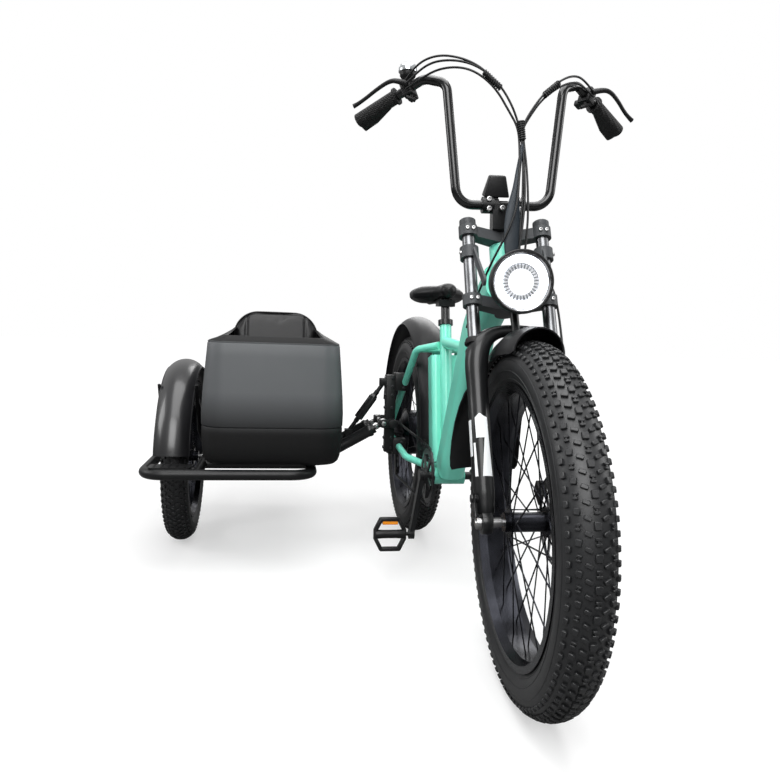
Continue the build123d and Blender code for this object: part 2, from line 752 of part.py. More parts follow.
def front_frame():
    """Head tube, main tube, link tube, seat tube and bottom bracket shell."""
    head = rod(fork_point(-fork_offset, 0, head_low_s), fork_point(-fork_offset, 0, head_high_s), head_tube_radius)
    shell = cross_pin(*bottom_bracket, shell_radius, -shell_half, shell_half)
    foot = (bottom_bracket[0], 0, bottom_bracket[1])
    top = (seat_tube_top[0], 0, seat_tube_top[1])
    seat_tube = rod(foot, top, seat_tube_radius)
    rise = (link_tube_z[0] - foot[2]) / (top[2] - foot[2])
    link_start = (foot[0] + rise * (top[0] - foot[0]), 0, link_tube_z[0])
    link_end = (105, 0, link_tube_z[1])
    link = rod(link_start, link_end, link_tube_radius)
    gusset = flat_bar((342, 0, 905), (250, 0, 846), 34, 40, (0, 1, 0))
    frame = head + main_tube() + shell + seat_tube + link + gusset
    frame -= rod(fork_point(-fork_offset, 0, head_low_s - 30), fork_point(-fork_offset, 0, head_high_s + 30),
                 head_tube_radius - head_wall)
    frame -= cross_pin(*bottom_bracket, spindle_radius + running_gap, -shell_half - 5, shell_half + 5)
    lean = (Vector(*top) - Vector(*foot)).normalized()
    frame -= rod(Vector(*top) - lean * 160, Vector(*top) + lean * 10, seat_post_radius + fit_gap)
    return frame


def headset():
    """Bearing cups that carry the steerer in the head tube."""
    cups = []
    for low, high in ((head_low_s, head_low_s + 14), (head_high_s - 14, head_high_s)):
        outer = rod(fork_point(-fork_offset, 0, low), fork_point(-fork_offset, 0, high), head_tube_radius - head_wall - fit_gap)
        cups.append(outer - rod(fork_point(-fork_offset, 0, low - 5), fork_point(-fork_offset, 0, high + 5),
                                steerer_radius + running_gap))
    return cups


def rear_triangle():
    """Seat stays, chain stays and dropouts, welded to the front frame."""
    stays = Part()
    for route in (seat_stay_route, chain_stay_route):
        for stay in both_sides(bent_tube(route, stay_radius)):
            stays += stay
    corners = Circle(20) + Pos(26, 20) * Circle(14) + Pos(30, -6) * Circle(14) + Pos(*eyelet) * Circle(9)
    corners += Pos(*stay_foot) * Circle(8)
    plate = make_hull(corners.edges()) - Pos(*eyelet) * Circle(eyelet_radius)
    for side in (-1, 1):
        dropout = Plane(origin=(rear_axle.X, side * dropout_y + dropout_thickness / 2, rear_axle.Z),
                        x_dir=(1, 0, 0), z_dir=(0, -1, 0)) * plate
        stays += extrude(dropout, dropout_thickness)
    for x, y, z, bend in (seat_stay_route[1], chain_stay_route[1]):
        stays += cross_pin(x, z, 8, -y, y)
    bridge = Vector(seat_stay_route[1][0], 0, seat_stay_route[1][2])
    inward = (rear_axle - bridge).normalized()
    stays += flat_bar(bridge, rear_axle - inward * (rear_fender[0] + seat_gap), 30, 5, (0, 1, 0))
    stays -= Pos(rear_axle) * cross_pin(0, 0, axle_radius + fit_gap, -dropout_y - 20, dropout_y + 20)
    return stays - front_frame() - cross_pin(*bottom_bracket, shell_radius + seat_gap, -shell_half - 9, shell_half + 9)


def battery_pack():
    """Battery case behind the seat tube, hollowed round the tube."""
    foot = Vector(bottom_bracket[0], 0, bottom_bracket[1])
    top = Vector(seat_tube_top[0], 0, seat_tube_top[1])
    lean = (top - foot).normalized()
    low = foot + lean * ((battery_z[0] - foot.Z) / lean.Z)
    high = foot + lean * ((battery_z[1] - foot.Z) / lean.Z)
    plane = Plane(origin=low, x_dir=(0, 1, 0), z_dir=lean)
    sign = 1 if plane.y_dir.X < 0 else -1
    outline = Pos(0, sign * (battery_depth / 2 + 4)) * RectangleRounded(battery_width, battery_depth, 16)
    case = plane.location * extrude(outline, (high - low).length)
    case -= rod(foot, top, seat_tube_radius + seat_gap)
    return case - main_tube() - cross_pin(*bottom_bracket, shell_radius + 1, -shell_half - 5, shell_half + 5)


def seat_post():
    """Seat post, its collar, saddle clamp and rails."""
    foot = Vector(bottom_bracket[0], 0, bottom_bracket[1])
    top = Vector(seat_tube_top[0], 0, seat_tube_top[1])
    lean = (top - foot).normalized()
    head = top + lean * 62
    post = rod(top - lean * 150, head, seat_post_radius)
    collar = rod(top + lean * seat_gap, top + lean * 16, seat_tube_radius + 5)
    rail_height = saddle_top_z - saddle_height - 9
    clamp = Pos(head.X, 0, rail_height - 4) * Box(44, 52, 20)
    neck = rod(head - lean * 6, (head.X, 0, rail_height - 8), seat_post_radius)
    rails = Part()
    for side in (-1, 1):
        rails += bent_tube([
            (saddle_x + 96, side * 10, rail_height + 12, 0),
            (saddle_x + 62, side * 22, rail_height, 20),
            (saddle_x - 70, side * 22, rail_height, 20),
            (saddle_x - 98, side * 34, rail_height + 12, 0),
        ], 4)
    under = Pos(saddle_x, 0, saddle_top_z) * Box(500, 300, 2 * saddle_height + 2 * seat_gap)
    return post + collar + clamp + neck + rails - under


def saddle():
    """Broad soft saddle."""
    back = -saddle_length / 2 + 46
    nose = saddle_length / 2 - 27
    circles = Pos(back, saddle_width / 2 - 46) * Circle(46) + Pos(back, 46 - saddle_width / 2) * Circle(46)
    circles += Pos(nose, 0) * Circle(27)
    pad = extrude(make_hull(circles.edges()), saddle_height)
    pad = fillet(pad.faces().sort_by(Axis.Z)[-1].edges(), 16)
    return Pos(saddle_x, 0, saddle_top_z - saddle_height) * pad


def pitch_radius(teeth):
    """Pitch radius of a chain wheel."""
    return chain_pitch / (2 * sin(pi / teeth))


def chain_line():
    """Closed line of the chain's pins over ring, sprocket and both pulleys: x and z."""
    stops = [                   # centre, pitch radius, and 1 or -1 for the way the chain wraps
        (bottom_bracket, pitch_radius(ring_teeth), 1),
        ((rear_axle.X, rear_axle.Z), pitch_radius(sprocket_teeth[chain_sprocket]), 1),
        (guide_pulley, pulley_radius, -1),
        (tension_pulley, pulley_radius, 1),
    ]
    joints = []
    for number, (centre, radius, wrap) in enumerate(stops):
        following, next_radius, next_wrap = stops[(number + 1) % len(stops)]
        first = wrap * radius
        second = next_wrap * next_radius
        span = hypot(following[0] - centre[0], following[1] - centre[1])
        heading = atan2(following[1] - centre[1], following[0] - centre[0])
        normal = heading - acos((first - second) / span)
        leave = (centre[0] + first * cos(normal), centre[1] + first * sin(normal))
        arrive = (following[0] + second * cos(normal), following[1] + second * sin(normal))
        joints.append((leave, arrive, normal))
    edges = []
    for number, (centre, radius, wrap) in enumerate(stops):
        arrive, normal_in = joints[number - 1][1], joints[number - 1][2]
        leave, arrive_next, normal_out = joints[number]
        turn = (normal_out - normal_in) % (2 * pi) if wrap > 0 else -((normal_in - normal_out) % (2 * pi))
        middle = normal_in + turn / 2
        bow = wrap * radius
        through = (centre[0] + bow * cos(middle), centre[1] + bow * sin(middle))
        edges.append(ThreePointArc(arrive, through, leave).edge())
        edges.append(Line(leave, arrive_next).edge())
    return make_face(edges).face().outer_wire()


def chain():
    """Closed loop of drive chain, wide and narrow links by turns."""
    line = chain_line()
    count = 2 * round(line.length / chain_pitch / 2)
    stops = [line.position_at(line.length * number / count, PositionMode.LENGTH) for number in range(count)]
    links = []
    for number, (start, end) in enumerate(zip(stops, stops[1:] + stops[:1])):
        width = chain_width if number % 2 else chain_width - 2.4
        links.append(flat_bar((start.X, chain_y, start.Y), (end.X, chain_y, end.Y), width, 2 * chain_half_height,
                              (0, 1, 0)))
    return links[0] + links[1:]


def sprocket(teeth, y, inner, thickness):
    """Chain wheel whose teeth end just inside the chain's rollers."""
    tip = pitch_radius(teeth) - roller_radius - running_gap
    points = []
    for tooth in range(teeth):
        for share, reach in ((0.0, tip), (0.5, tip - tooth_depth)):
            angle = 2 * pi * (tooth + share) / teeth
            points.append((reach * cos(angle), reach * sin(angle)))
    plate = make_face(Polyline(*points, close=True)) - Circle(inner)
    plane = Plane(origin=(0, y + thickness / 2, 0), x_dir=(1, 0, 0), z_dir=(0, -1, 0))
    return plane.location * extrude(plate, thickness)


def cassette():
    """Seven sprockets on one carrier beside the motor."""
    first_y = chain_y + chain_sprocket * sprocket_step
    last_y = first_y - (len(sprocket_teeth) - 1) * sprocket_step
    block = ring_about_y(20, axle_radius + running_gap, -motor_half - seat_gap, last_y - 1.5)
    for number, teeth in enumerate(sprocket_teeth):
        block += sprocket(teeth, first_y - number * sprocket_step, 19, 2)
    return Pos(rear_axle) * block


def rear_derailleur():
    """Hanger, arm, cage plates and the two pulleys."""
    outer_y = chain_y - chain_width / 2 - 1.5
    inner_y = chain_y + chain_width / 2 + 1.5
    circles = Pos(*guide_pulley) * Circle(11) + Pos(*tension_pulley) * Circle(13)
    blade = make_hull(circles.edges())
    parts = Part()
    for y in (outer_y, inner_y + 2):
        parts += Plane(origin=(0, y, 0), x_dir=(1, 0, 0), z_dir=(0, -1, 0)).location * extrude(blade, 2)
    for centre in (guide_pulley, tension_pulley):
        parts += cross_pin(*centre, 4, inner_y + 2, outer_y - 2)
        parts += cross_pin(*centre, pulley_radius - roller_radius - 0.6, chain_y + 1.5, chain_y - 1.5)
    arm_y = -dropout_y - dropout_thickness / 2
    parts += flat_bar((guide_pulley[0], outer_y - 8, guide_pulley[1]), (guide_pulley[0] + 4, arm_y - 3, guide_pulley[1] + 2),
                      26, 20, (1, 0, 0))
    parts += cross_pin(guide_pulley[0], guide_pulley[1], 13, outer_y - 1, outer_y - 14)
    hanger = flat_bar((guide_pulley[0] + 4, arm_y - 3, guide_pulley[1]), (rear_axle.X + 27, arm_y - 3, rear_axle.Z - 10),
                      22, 6, (1, 0, 0))
    return parts + hanger - rear_triangle()


def crank_point(angle, radius):
    """x and z at a distance from the crank axis along an angle up from forward."""
    return (bottom_bracket[0] + radius * cos(radians(angle)), bottom_bracket[1] + radius * sin(radians(angle)))


def crankset():
    """Spindle, chain ring on its spider, both arms and the pedal axles."""
    set_ = cross_pin(0, 0, spindle_radius, -crank_arm_y, crank_arm_y)
    tip = pitch_radius(ring_teeth) - roller_radius - running_gap
    set_ += sprocket(ring_teeth, chain_y, tip - 18, 3)
    set_ += ring_about_y(24, spindle_radius - 1, chain_y - 12, chain_y + 3)
    for number in range(5):
        set_ += Rot(0, 72 * number + 20, 0) * Pos(42, chain_y - 2, 0) * Box(52, 5, 14)
    for side, angle in ((-1, crank_angle), (1, crank_angle + 180)):
        x, z = crank_length * cos(radians(angle)), crank_length * sin(radians(angle))
        start = Vector(0, side * crank_arm_y, 0)
        end = Vector(x, side * crank_end_y, z)
        set_ += flat_bar(start, end, 14, 26, (0, 1, 0))
        set_ += cross_pin(0, 0, 19, side * (crank_arm_y - 8), side * (crank_arm_y + 9))
        set_ += cross_pin(x, z, 15, side * (crank_end_y - 8), side * (crank_end_y + 8))
        set_ += cross_pin(x, z, pedal_axle_radius, side * crank_end_y, side * (pedal_y + pedal_size / 2 - 4))
    return Pos(crank_axis) * set_


def pedal(side, angle):
    """Open platform pedal with a reflector at each end."""
    half = pedal_size / 2
    body = Box(pedal_size, pedal_size - 6, pedal_thickness)
    for x_side in (-1, 1):
        body -= Pos(x_side * 26, 0, 0) * Box(26, pedal_size - 26, 2 * pedal_thickness)
    body -= cross_pin(0, 0, pedal_axle_radius + running_gap, -half - 5, half + 5)
    for x_side in (-1, 1):
        body += Pos(x_side * (half + 1), 0, 0) * Box(4, 60, 13)
    x, z = crank_point(angle, crank_length)
    return Pos(x, side * pedal_y, z) * Rot(0, -pedal_tilt, 0) * body


def link_bracket():
    """Frame-side bracket: clamps on both stays, the upright channel and the clevis lugs."""
    low, high = link_z
    width = link_width
    channel = Pos(link_x, -link_y, (low + high) / 2) * (
        Box(width, 40, high - low) - Pos(0, -8, 0) * Box(width - 12, 40, high - low + 2))
    pieces = channel
    seat_stay_z = 575
    chain_stay_z = 351
    for z, height in ((seat_stay_z + 2, 62), (chain_stay_z, 54)):
        pieces += Pos(link_x, -92, z) * Box(width, 44, height)
    beam_z = arm_eye[1]
    beam = rod((arm_x[1] - 22, -link_y + 6, beam_z), (arm_x[0] + 22, -link_y + 6, beam_z), 15)
    pieces += beam
    for x in arm_x:
        for side in (-1, 1):
            pieces += Pos(x + side * 13, arm_eye[0] + 6, beam_z) * Box(5, 44, 26)
    for side in (-1, 1):
        pieces += Pos(link_x + side * 12, turnbuckle_top[0] + 9, turnbuckle_top[1]) * Box(5, 50, 26)
    for route in (seat_stay_route, chain_stay_route):
        stay = [(x, -y, z, bend) for x, y, z, bend in route]
        pieces -= bent_tube(stay, stay_radius + fit_gap)
    for x in arm_x:
        pieces -= rod((x - 30, *arm_eye), (x + 30, *arm_eye), 5 + fit_gap)
    return pieces


def link_arms():
    """Two lower arms with rod-end eyes at the bicycle and welds on the sidecar's inner rail."""
    rail = rod((rail_rear_x, inner_rail_y, rail_z), (rail_front_x, inner_rail_y, rail_z), rail_radius + fit_gap)
    arms = []
    for x in arm_x:
        eye = Vector(x, *arm_eye)
        foot = Vector(x, *arm_end)
        way = (foot - eye).normalized()
        arm = rod(eye + way * 34, foot, arm_radius)
        shank = rod(eye, eye + way * 40, 8)
        ball = rod(eye - Vector(10, 0, 0), eye + Vector(10, 0, 0), 15)
        pin = rod(eye - Vector(20, 0, 0), eye + Vector(20, 0, 0), 5 + fit_gap)
        arms.append(arm + shank + ball - pin)
    brace_y = turnbuckle_foot_y
    slope = (arm_end[1] - arm_eye[1]) / (arm_end[0] - arm_eye[0])
    brace_z = arm_eye[1] + slope * (brace_y - arm_eye[0])
    brace = rod((arm_x[1], brace_y, brace_z), (arm_x[0], brace_y, brace_z), 10)
    lugs = Part()
    for side in (-1, 1):
        lugs += Pos(link_x + side * 12, brace_y + 2, brace_z + 22) * Box(5, 26, 34)
    return arms[0] + arms[1] + brace + lugs - rail


def link_pins():
    """Bolts through the rod-end eyes."""
    bolts = []
    for x in arm_x:
        bolts.append(rod((x - 15.5 - 6, *arm_eye), (x + 15.5 + 6, *arm_eye), 5))
    return bolts


def turnbuckle():
    """Adjustable upper tie with a hexagonal sleeve and two rod ends."""
    slope = (arm_end[1] - arm_eye[1]) / (arm_end[0] - arm_eye[0])
    foot_z = arm_eye[1] + slope * (turnbuckle_foot_y - arm_eye[0]) + 28
    top = Vector(link_x, *turnbuckle_top)
    foot = Vector(link_x, turnbuckle_foot_y, foot_z)
    way = (foot - top).normalized()
    length = (foot - top).length
    tie = rod(top, foot, 7)
    sleeve = extrude(Plane(origin=top + way * (length * 0.3), z_dir=way) * RegularPolygon(15, 6), length * 0.42)
    tie += sleeve
    for end in (top, foot):
        tie += rod(end - Vector(9, 0, 0), end + Vector(9, 0, 0), 12)
    return tie


def sidecar_frame():
    """Tube frame of the sidecar with cross tubes, wheel plates and tub mounts."""
    z = rail_z
    frame = bent_tube([
        (rail_seam_x, inner_rail_y, z, 0),
        (rail_front_x, inner_rail_y, z, corner_bend),
        (rail_front_x, outer_rail_y, z, corner_bend),
        (rail_rear_x, outer_rail_y, z, corner_bend),
        (rail_rear_x, inner_rail_y, z, corner_bend),
        (rail_seam_x - 1, inner_rail_y, z, 0),
    ], rail_radius)
    frame += rod((rail_seam_x - 20, inner_rail_y, z), (rail_seam_x + 20, inner_rail_y, z), rail_radius + 1.5)
    frame += rod((rail_rear_x, middle_rail_y, z), (rail_front_x, middle_rail_y, z), cross_radius)
    for x in cross_x:
        frame += rod((x, middle_rail_y, z), (x, inner_rail_y, z), cross_radius)
    frame += rod((step_back_x(), outer_rail_y, z), (step_back_x(), middle_rail_y, z), 10)
    for y in (outer_rail_y, middle_rail_y):
        frame += Pos(sidecar_wheel_x, y, sidecar_tyre_radius) * Box(70, 8, 56)
    for x in cross_x:
        for y in (inner_rail_y, tub_y - 122):
            frame += rod((x, y, z), (x, y, tub_sections[0][0] - seat_gap), 13)
    for side, rail_y in ((-1, outer_rail_y), (1, middle_rail_y)):
        for angle in fender_stay_angles:
            frame += fender_stay(sidecar_fender, rail_y, side, angle)
    frame -= rod((sidecar_wheel_x, outer_rail_y - 40, sidecar_tyre_radius),
                 (sidecar_wheel_x, middle_rail_y + 40, sidecar_tyre_radius), axle_radius + fit_gap)
    return frame


def step_back_x():
    """Cross tube that carries the rear edge of the step."""
    return rail_front_x - rail_radius - step_size[0] + 12


def sidecar_step():
    """Grip plate in front of the sidecar wheel."""
    x = rail_front_x - step_size[0] / 2 - 2
    y = (outer_rail_y + middle_rail_y) / 2
    z = rail_z + rail_radius + seat_gap + step_thickness / 2
    plate = Box(step_size[0], step_size[1], step_thickness)
    plate = fillet(plate.edges().filter_by(Axis.Z), 14)
    for row in range(3):
        for column in range(5):
            plate -= Pos(-18 + 18 * row, -44 + 22 * column, 0) * Cylinder(5, 20)
    return Pos(x, y, z) * plate


def sidecar_axle_bar():
    """Axle of the sidecar wheel between the outer and middle rails."""
    reach = rail_radius + fit_gap
    bar = rod((0, outer_rail_y - reach, 0), (0, middle_rail_y + reach, 0), axle_radius)
    bar += rod((0, outer_rail_y - reach, 0), (0, outer_rail_y - reach - 6, 0), 11)
    bar += rod((0, middle_rail_y + reach, 0), (0, middle_rail_y + reach + 6, 0), 11)
    return Pos(sidecar_wheel_x, 0, sidecar_tyre_radius) * bar


def tub_outline(section, inset):
    """Rounded outline of the tub at one level, drawn inside its outer face by an inset."""
    z_front, z_rear, half_front, half_rear, x_front, x_rear, corner = section
    length = x_front - x_rear
    plane = Plane(origin=(x_front, tub_y, z_front), x_dir=(length, 0, z_front - z_rear), z_dir=(z_rear - z_front, 0, length))
    reach = hypot(length, z_front - z_rear)
    points = [
        (-inset, half_front - inset), (-reach + inset, half_rear - inset),
        (-reach + inset, inset - half_rear), (-inset, inset - half_front),
    ]
    outline = make_face(Polyline(*points, close=True))
    return plane.location * fillet(outline.vertices(), corner - min(inset, corner - 4))


def sidecar_tub():
    """Open tub: bulged sides, bevelled rim, closed deck behind the seat and one wall all over."""
    outer = loft([tub_outline(section, 0).face() for section in tub_sections], ruled=True)
    inner_sections = []
    last = len(tub_sections) - 1
    for number, section in enumerate(tub_sections):
        values = list(section)
        lift = tub_wall if number == 0 else (2 if number < 4 else -4)
        if number == last:
            lift = 3
        values[0] += lift
        values[1] += lift
        inner_sections.append(tub_outline(values, tub_wall).face())
    inner = loft(inner_sections, ruled=True)
    front_x, rear_x = tub_sections[-1][4], tub_sections[-1][5]
    rise = (tub_sections[-1][1] - tub_sections[-1][0]) / (front_x - rear_x)
    deck_z = tub_sections[-1][0] + rise * (front_x - opening_rear_x)
    roof = Pos(opening_rear_x - 150, tub_y, deck_z + 14) * Box(300, 500, 40 + 2 * tub_wall)
    base_low = tub_sections[0][0] + 1
    base = Pos(cushion_x, tub_y, (base_low + seat_base[2]) / 2) * Box(seat_base[0], seat_base[1], seat_base[2] - base_low)
    return (outer - (inner - roof)) + base


def seat_cushion():
    """Seat cushion on the tub's floor."""
    length, width, height = cushion_size
    pad = Box(length, width, height)
    pad = fillet(pad.edges().filter_by(Axis.Z), 40)
    pad = fillet(pad.faces().sort_by(Axis.Z)[-1].edges(), 20)
    return Pos(cushion_x, tub_y, seat_base[2] + seat_gap + height / 2) * pad


def backrest():
    """Upright backrest with a rounded top, standing on its own foot inside the tub."""
    half = backrest_width / 2
    outline = Rectangle(backrest_width, backrest_height)
    outline = fillet(outline.vertices().sort_by(Axis.Y)[-2:], 92)
    pad = extrude(outline, backrest_thickness / 2, both=True)
    pad = fillet(pad.faces().sort_by(Axis.Z)[-1].edges(), 20)
    stand = Plane(origin=(0, 0, 0), x_dir=(0, 1, 0), z_dir=(1, 0, 0)).location * Pos(0, backrest_height / 2, 0) * pad
    x, z = backrest_foot
    return Pos(x, tub_y, z) * Rot(0, -backrest_lean, 0) * stand


def fender_stay(fender, rail_y, side, angle):
    """Round stay from a sidecar rail up to the fender's edge on one side."""
    radius, half, drop, _, _ = fender
    edge_y = sidecar_wheel_y + side * (half + seat_gap + fender_stay_radius)
    across, up = cos(radians(angle)), sin(radians(angle))
    reach = radius - drop + 10
    return bent_tube([
        (sidecar_wheel_x + 140 * across, rail_y, rail_z + 4, 0),
        (sidecar_wheel_x + 190 * across, edge_y, rail_z + 90, 30),
        (sidecar_wheel_x + reach * across, edge_y, sidecar_tyre_radius + reach * up, 0),
    ], fender_stay_radius)


def sidecar_fender_shell():
    """Fender over the sidecar wheel."""
    return Pos(sidecar_axle) * arc_shell(*sidecar_fender)


def steered(shape):
    """Turn a piece of the straight-ahead fork to the parked steering angle."""
    return shape.rotate(steering_axis, parked_steer)


def build_nodes():
    """Every node as a name with its solid or list of solids, in the bicycle's own place."""
    front_hub = flanged_hub(front_hub_half, front_hub_radius, front_flange_radius, front_flange_y)
    side_hub = flanged_hub(sidecar_hub_half, 18, 29, 30)
    bike = (bike_tyre_radius, bike_tyre_section, bike_rim_half)
    side = (sidecar_tyre_radius, sidecar_tyre_section, sidecar_rim_half)
    steering = {
        "fork_crowns": fork_crowns(),
        "fork_stanchions": fork_stanchions(),
        "fork_lowers": fork_lowers(),
        "front_axle": axle_bar(front_axle, 13, leg_y + foot_half + fit_gap, front_hub_half + 6.3, leg_y - foot_half - fit_gap),
        "stem": stem(),
        "handlebar": handlebar(),
        "grips": both_sides(left_grip()),
        "brake_levers": [lever(*left_lever_shape), mirror(lever(*right_lever_shape), about=Plane.XZ)],
        "control_cables": control_cables(),
        "cable_sleeve": cable_sleeve(),
        "display": display(),
        "bell": bell(),
        "lamp_housing": lamp_housing(),
        "lamp_lens": lamp_lens(),
        "lamp_bracket": lamp_bracket(),
        "front_fender": Pos(front_axle) * front_fender_shell(),
        "front_fender_bracket": front_fender_stays(),
        "front_caliper": front_caliper(),
        "front_tyre": Pos(front_axle) * tyre(*bike),
        "front_wheel": Pos(front_axle) * spoked_wheel(*bike, bike_spokes, front_hub, front_flange_radius, front_flange_y),
        "front_disc": Pos(front_axle) * brake_disc(front_disc_y, front_hub_half),
    }
    nodes = {name: steered(Compound(shape) if isinstance(shape, list) else shape) for name, shape in steering.items()}
    nodes.update({
        "front_frame": front_frame(),
        "headset": headset(),
        "rear_triangle": rear_triangle(),
        "battery_pack": battery_pack(),
        "seat_post": seat_post(),
        "saddle": saddle(),
        "rear_fender": rear_fender_shell(),
        "rear_axle": axle_bar(rear_axle, 12, dropout_y + dropout_thickness / 2 + fit_gap, dropout_y - 10,
                              dropout_y - dropout_thickness / 2 - fit_gap),
        "chain": chain(),
        "rear_derailleur": rear_derailleur(),
        "rear_caliper": rear_caliper(),
        "link_bracket": link_bracket(),
        "link_arms": link_arms(),
        "link_pins": link_pins(),
        "turnbuckle": turnbuckle(),
        "sidecar_frame": sidecar_frame(),
        "sidecar_step": sidecar_step(),
        "sidecar_axle": sidecar_axle_bar(),
        "sidecar_tub": sidecar_tub(),
        "seat_cushion": seat_cushion(),
        "backrest": backrest(),
        "sidecar_fender": sidecar_fender_shell(),
        "rear_tyre": Pos(rear_axle) * tyre(*bike),
        "rear_wheel": Pos(rear_axle) * spoked_wheel(*bike, bike_spokes, motor_hub(), motor_flange_radius, motor_flange_y),
        "rear_disc": Pos(rear_axle) * brake_disc(rear_disc_y, motor_half),
        "cassette": cassette(),
        "sidecar_tyre": Pos(sidecar_axle) * tyre(*side),
        "sidecar_wheel": Pos(sidecar_axle) * spoked_wheel(*side, sidecar_spokes, side_hub, 29, 30),
        "crankset": crankset(),
        "pedal_right": pedal(-1, crank_angle),
        "pedal_left": pedal(1, crank_angle + 180),
    })
    return nodes


def placed_nodes():
    """Every node moved so that the middle of the whole vehicle's base is the origin, with the move."""
    nodes = build_nodes()
    shapes = {name: Compound(shape) if isinstance(shape, list) else shape for name, shape in nodes.items()}
    box = Compound([solid for shape in shapes.values() for solid in shape.solids()]).bounding_box()
    move = Vector(-(box.min.X + box.max.X) / 2, -(box.min.Y + box.max.Y) / 2, -box.min.Z)
    return {name: shape.moved(Location(move)) for name, shape in shapes.items()}, move


if __name__ == "__main__":
    os.makedirs("parts", exist_ok=True)
    for name, shape in placed_nodes()[0].items():
        export_step(shape, f"parts/{name}.step")
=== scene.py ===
# %% [markdown]
# # A fat-tyre electric bicycle with a sidecar
#
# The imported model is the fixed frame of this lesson: every tube, wheel and joint is already in its place,
# in metres. Each cell adds what CAD leaves plain, which is tread, stitching, padding, lamp optics, cables
# and the finish of every surface. The measurements below are in the bicycle's own place: x runs forward
# from the middle of the wheelbase, y to the rider's left and z up from the ground.

# %% Load the frame
from math import asin, atan2, copysign, cos, exp, hypot, pi, radians, sin, sqrt

import bmesh
import bpy
from mathutils import Matrix, Vector


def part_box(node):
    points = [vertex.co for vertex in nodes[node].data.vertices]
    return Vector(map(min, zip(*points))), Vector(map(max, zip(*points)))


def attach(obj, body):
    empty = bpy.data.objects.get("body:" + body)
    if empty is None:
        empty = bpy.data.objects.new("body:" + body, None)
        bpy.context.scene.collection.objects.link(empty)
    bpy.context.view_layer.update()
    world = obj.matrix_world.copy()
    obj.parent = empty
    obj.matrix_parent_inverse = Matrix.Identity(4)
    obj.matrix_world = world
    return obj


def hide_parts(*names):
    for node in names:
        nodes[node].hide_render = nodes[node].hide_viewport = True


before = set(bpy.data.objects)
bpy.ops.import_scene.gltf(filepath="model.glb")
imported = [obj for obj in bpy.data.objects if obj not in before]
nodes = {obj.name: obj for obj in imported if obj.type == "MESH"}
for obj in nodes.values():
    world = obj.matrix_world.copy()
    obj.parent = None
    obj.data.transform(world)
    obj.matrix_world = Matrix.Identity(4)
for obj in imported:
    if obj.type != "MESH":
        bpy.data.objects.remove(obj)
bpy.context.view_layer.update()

# %% Points and places
def mm(*values):
    """Point given in millimetres."""
    return Vector(values) / 1000


def at(*values):
    """Place at a point given in millimetres."""
    return Matrix.Translation(mm(*values))


def rot(degrees, axis):
    """Turn about an axis by that many degrees."""
    return Matrix.Rotation(radians(degrees), 4, axis)


# %% Where the bicycle stands, and how far its fork is turned
rear_low, rear_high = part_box("rear_tyre")
rear_centre = Vector((-0.62, 0.0, 0.37))
BIKE = Matrix.Translation((rear_low + rear_high) / 2 - rear_centre)
head_angle = radians(69)
steer_pivot = Vector((0.578, 0.0, 0.3539))
steer_axis = Vector((-cos(head_angle), 0.0, sin(head_angle)))
STEERED = (BIKE @ Matrix.Translation(steer_pivot) @ rot(-4, steer_axis)
           @ Matrix.Translation(-steer_pivot))
leg_up = steer_axis
leg_forward = Vector((sin(head_angle), 0.0, cos(head_angle)))
front_axle = Vector((0.62, 0.0, 0.37))
sidecar_axle = Vector((-0.53, -0.833, 0.289))
print("bicycle at", [round(v, 4) for v in BIKE.translation])

# %% [markdown]
# ## Camera
#
# The camera stands in front of the bicycle, half a metre to the rider's right of its plane and lower than
# the handlebar, and it is rolled by two degrees. Its axes are written out, so that the frame matches the
# photograph.

# %% Camera
camera_place = BIKE @ Vector((1.9121, -0.5061, 0.743))
yaw, pitch, roll = radians(170.796), radians(-4.754), radians(2.044)
ahead = Vector((cos(pitch) * cos(yaw), cos(pitch) * sin(yaw), sin(pitch)))
level_right = Vector((sin(yaw), -cos(yaw), 0.0))
level_up = level_right.cross(ahead)
right = level_right * cos(roll) + level_up * sin(roll)
up = level_up * cos(roll) - level_right * sin(roll)
lens = bpy.data.cameras.new("camera")
lens.sensor_width = 36.0
focal_pixels, photo_side = 677.306, 780
lens.lens = focal_pixels / photo_side * lens.sensor_width
lens.clip_start = 0.01
camera = bpy.data.objects.new("camera", lens)
bpy.context.scene.collection.objects.link(camera)
camera.matrix_world = Matrix.Translation(camera_place) @ Matrix((right, up, -ahead)).transposed().to_4x4()
bpy.context.scene.camera = camera
bpy.context.scene.view_settings.view_transform = "Standard"
print("lens", round(lens.lens, 2), "mm")

# %% [markdown]
# ## Shader maths
#
# A material is a small sum of patterns. Python writes sums well, so one class wraps a socket and turns each
# operator into a Math node, and a second one makes every other kind of node from its settings and its
# inputs.

# %% Sockets that can be added and multiplied
class Signal:
    """One output of a shader node. Python's operators on it add Math nodes."""

    def __init__(self, tree, socket):
        self.tree = tree
        self.socket = socket

    def maths(self, operation, *values, clamp=False):
        node = self.tree.nodes.new("ShaderNodeMath")
        node.operation = operation
        node.use_clamp = clamp
        for socket, value in zip(node.inputs, values):
            feed(self.tree, value, socket)
        return Signal(self.tree, node.outputs[0])

    def __add__(self, other):
        return self.maths("ADD", self, other)

    def __sub__(self, other):
        return self.maths("SUBTRACT", self, other)

    def __rsub__(self, other):
        return self.maths("SUBTRACT", other, self)

    def __mul__(self, other):
        return self.maths("MULTIPLY", self, other)

    def __truediv__(self, other):
        return self.maths("DIVIDE", self, other)

    def over(self, edge, soft):
        """0 below an edge and 1 above it, with a soft step between."""
        return self.maths("MULTIPLY", self.maths("ADD", (self - edge) / soft, 0.5, clamp=True), 1.0)

    def wave(self, count):
        """A sine wave of that many turns per unit, from 0 to 1."""
        return self.maths("SINE", self * (2 * pi * count)) * 0.5 + 0.5

    __radd__ = __add__
    __rmul__ = __mul__


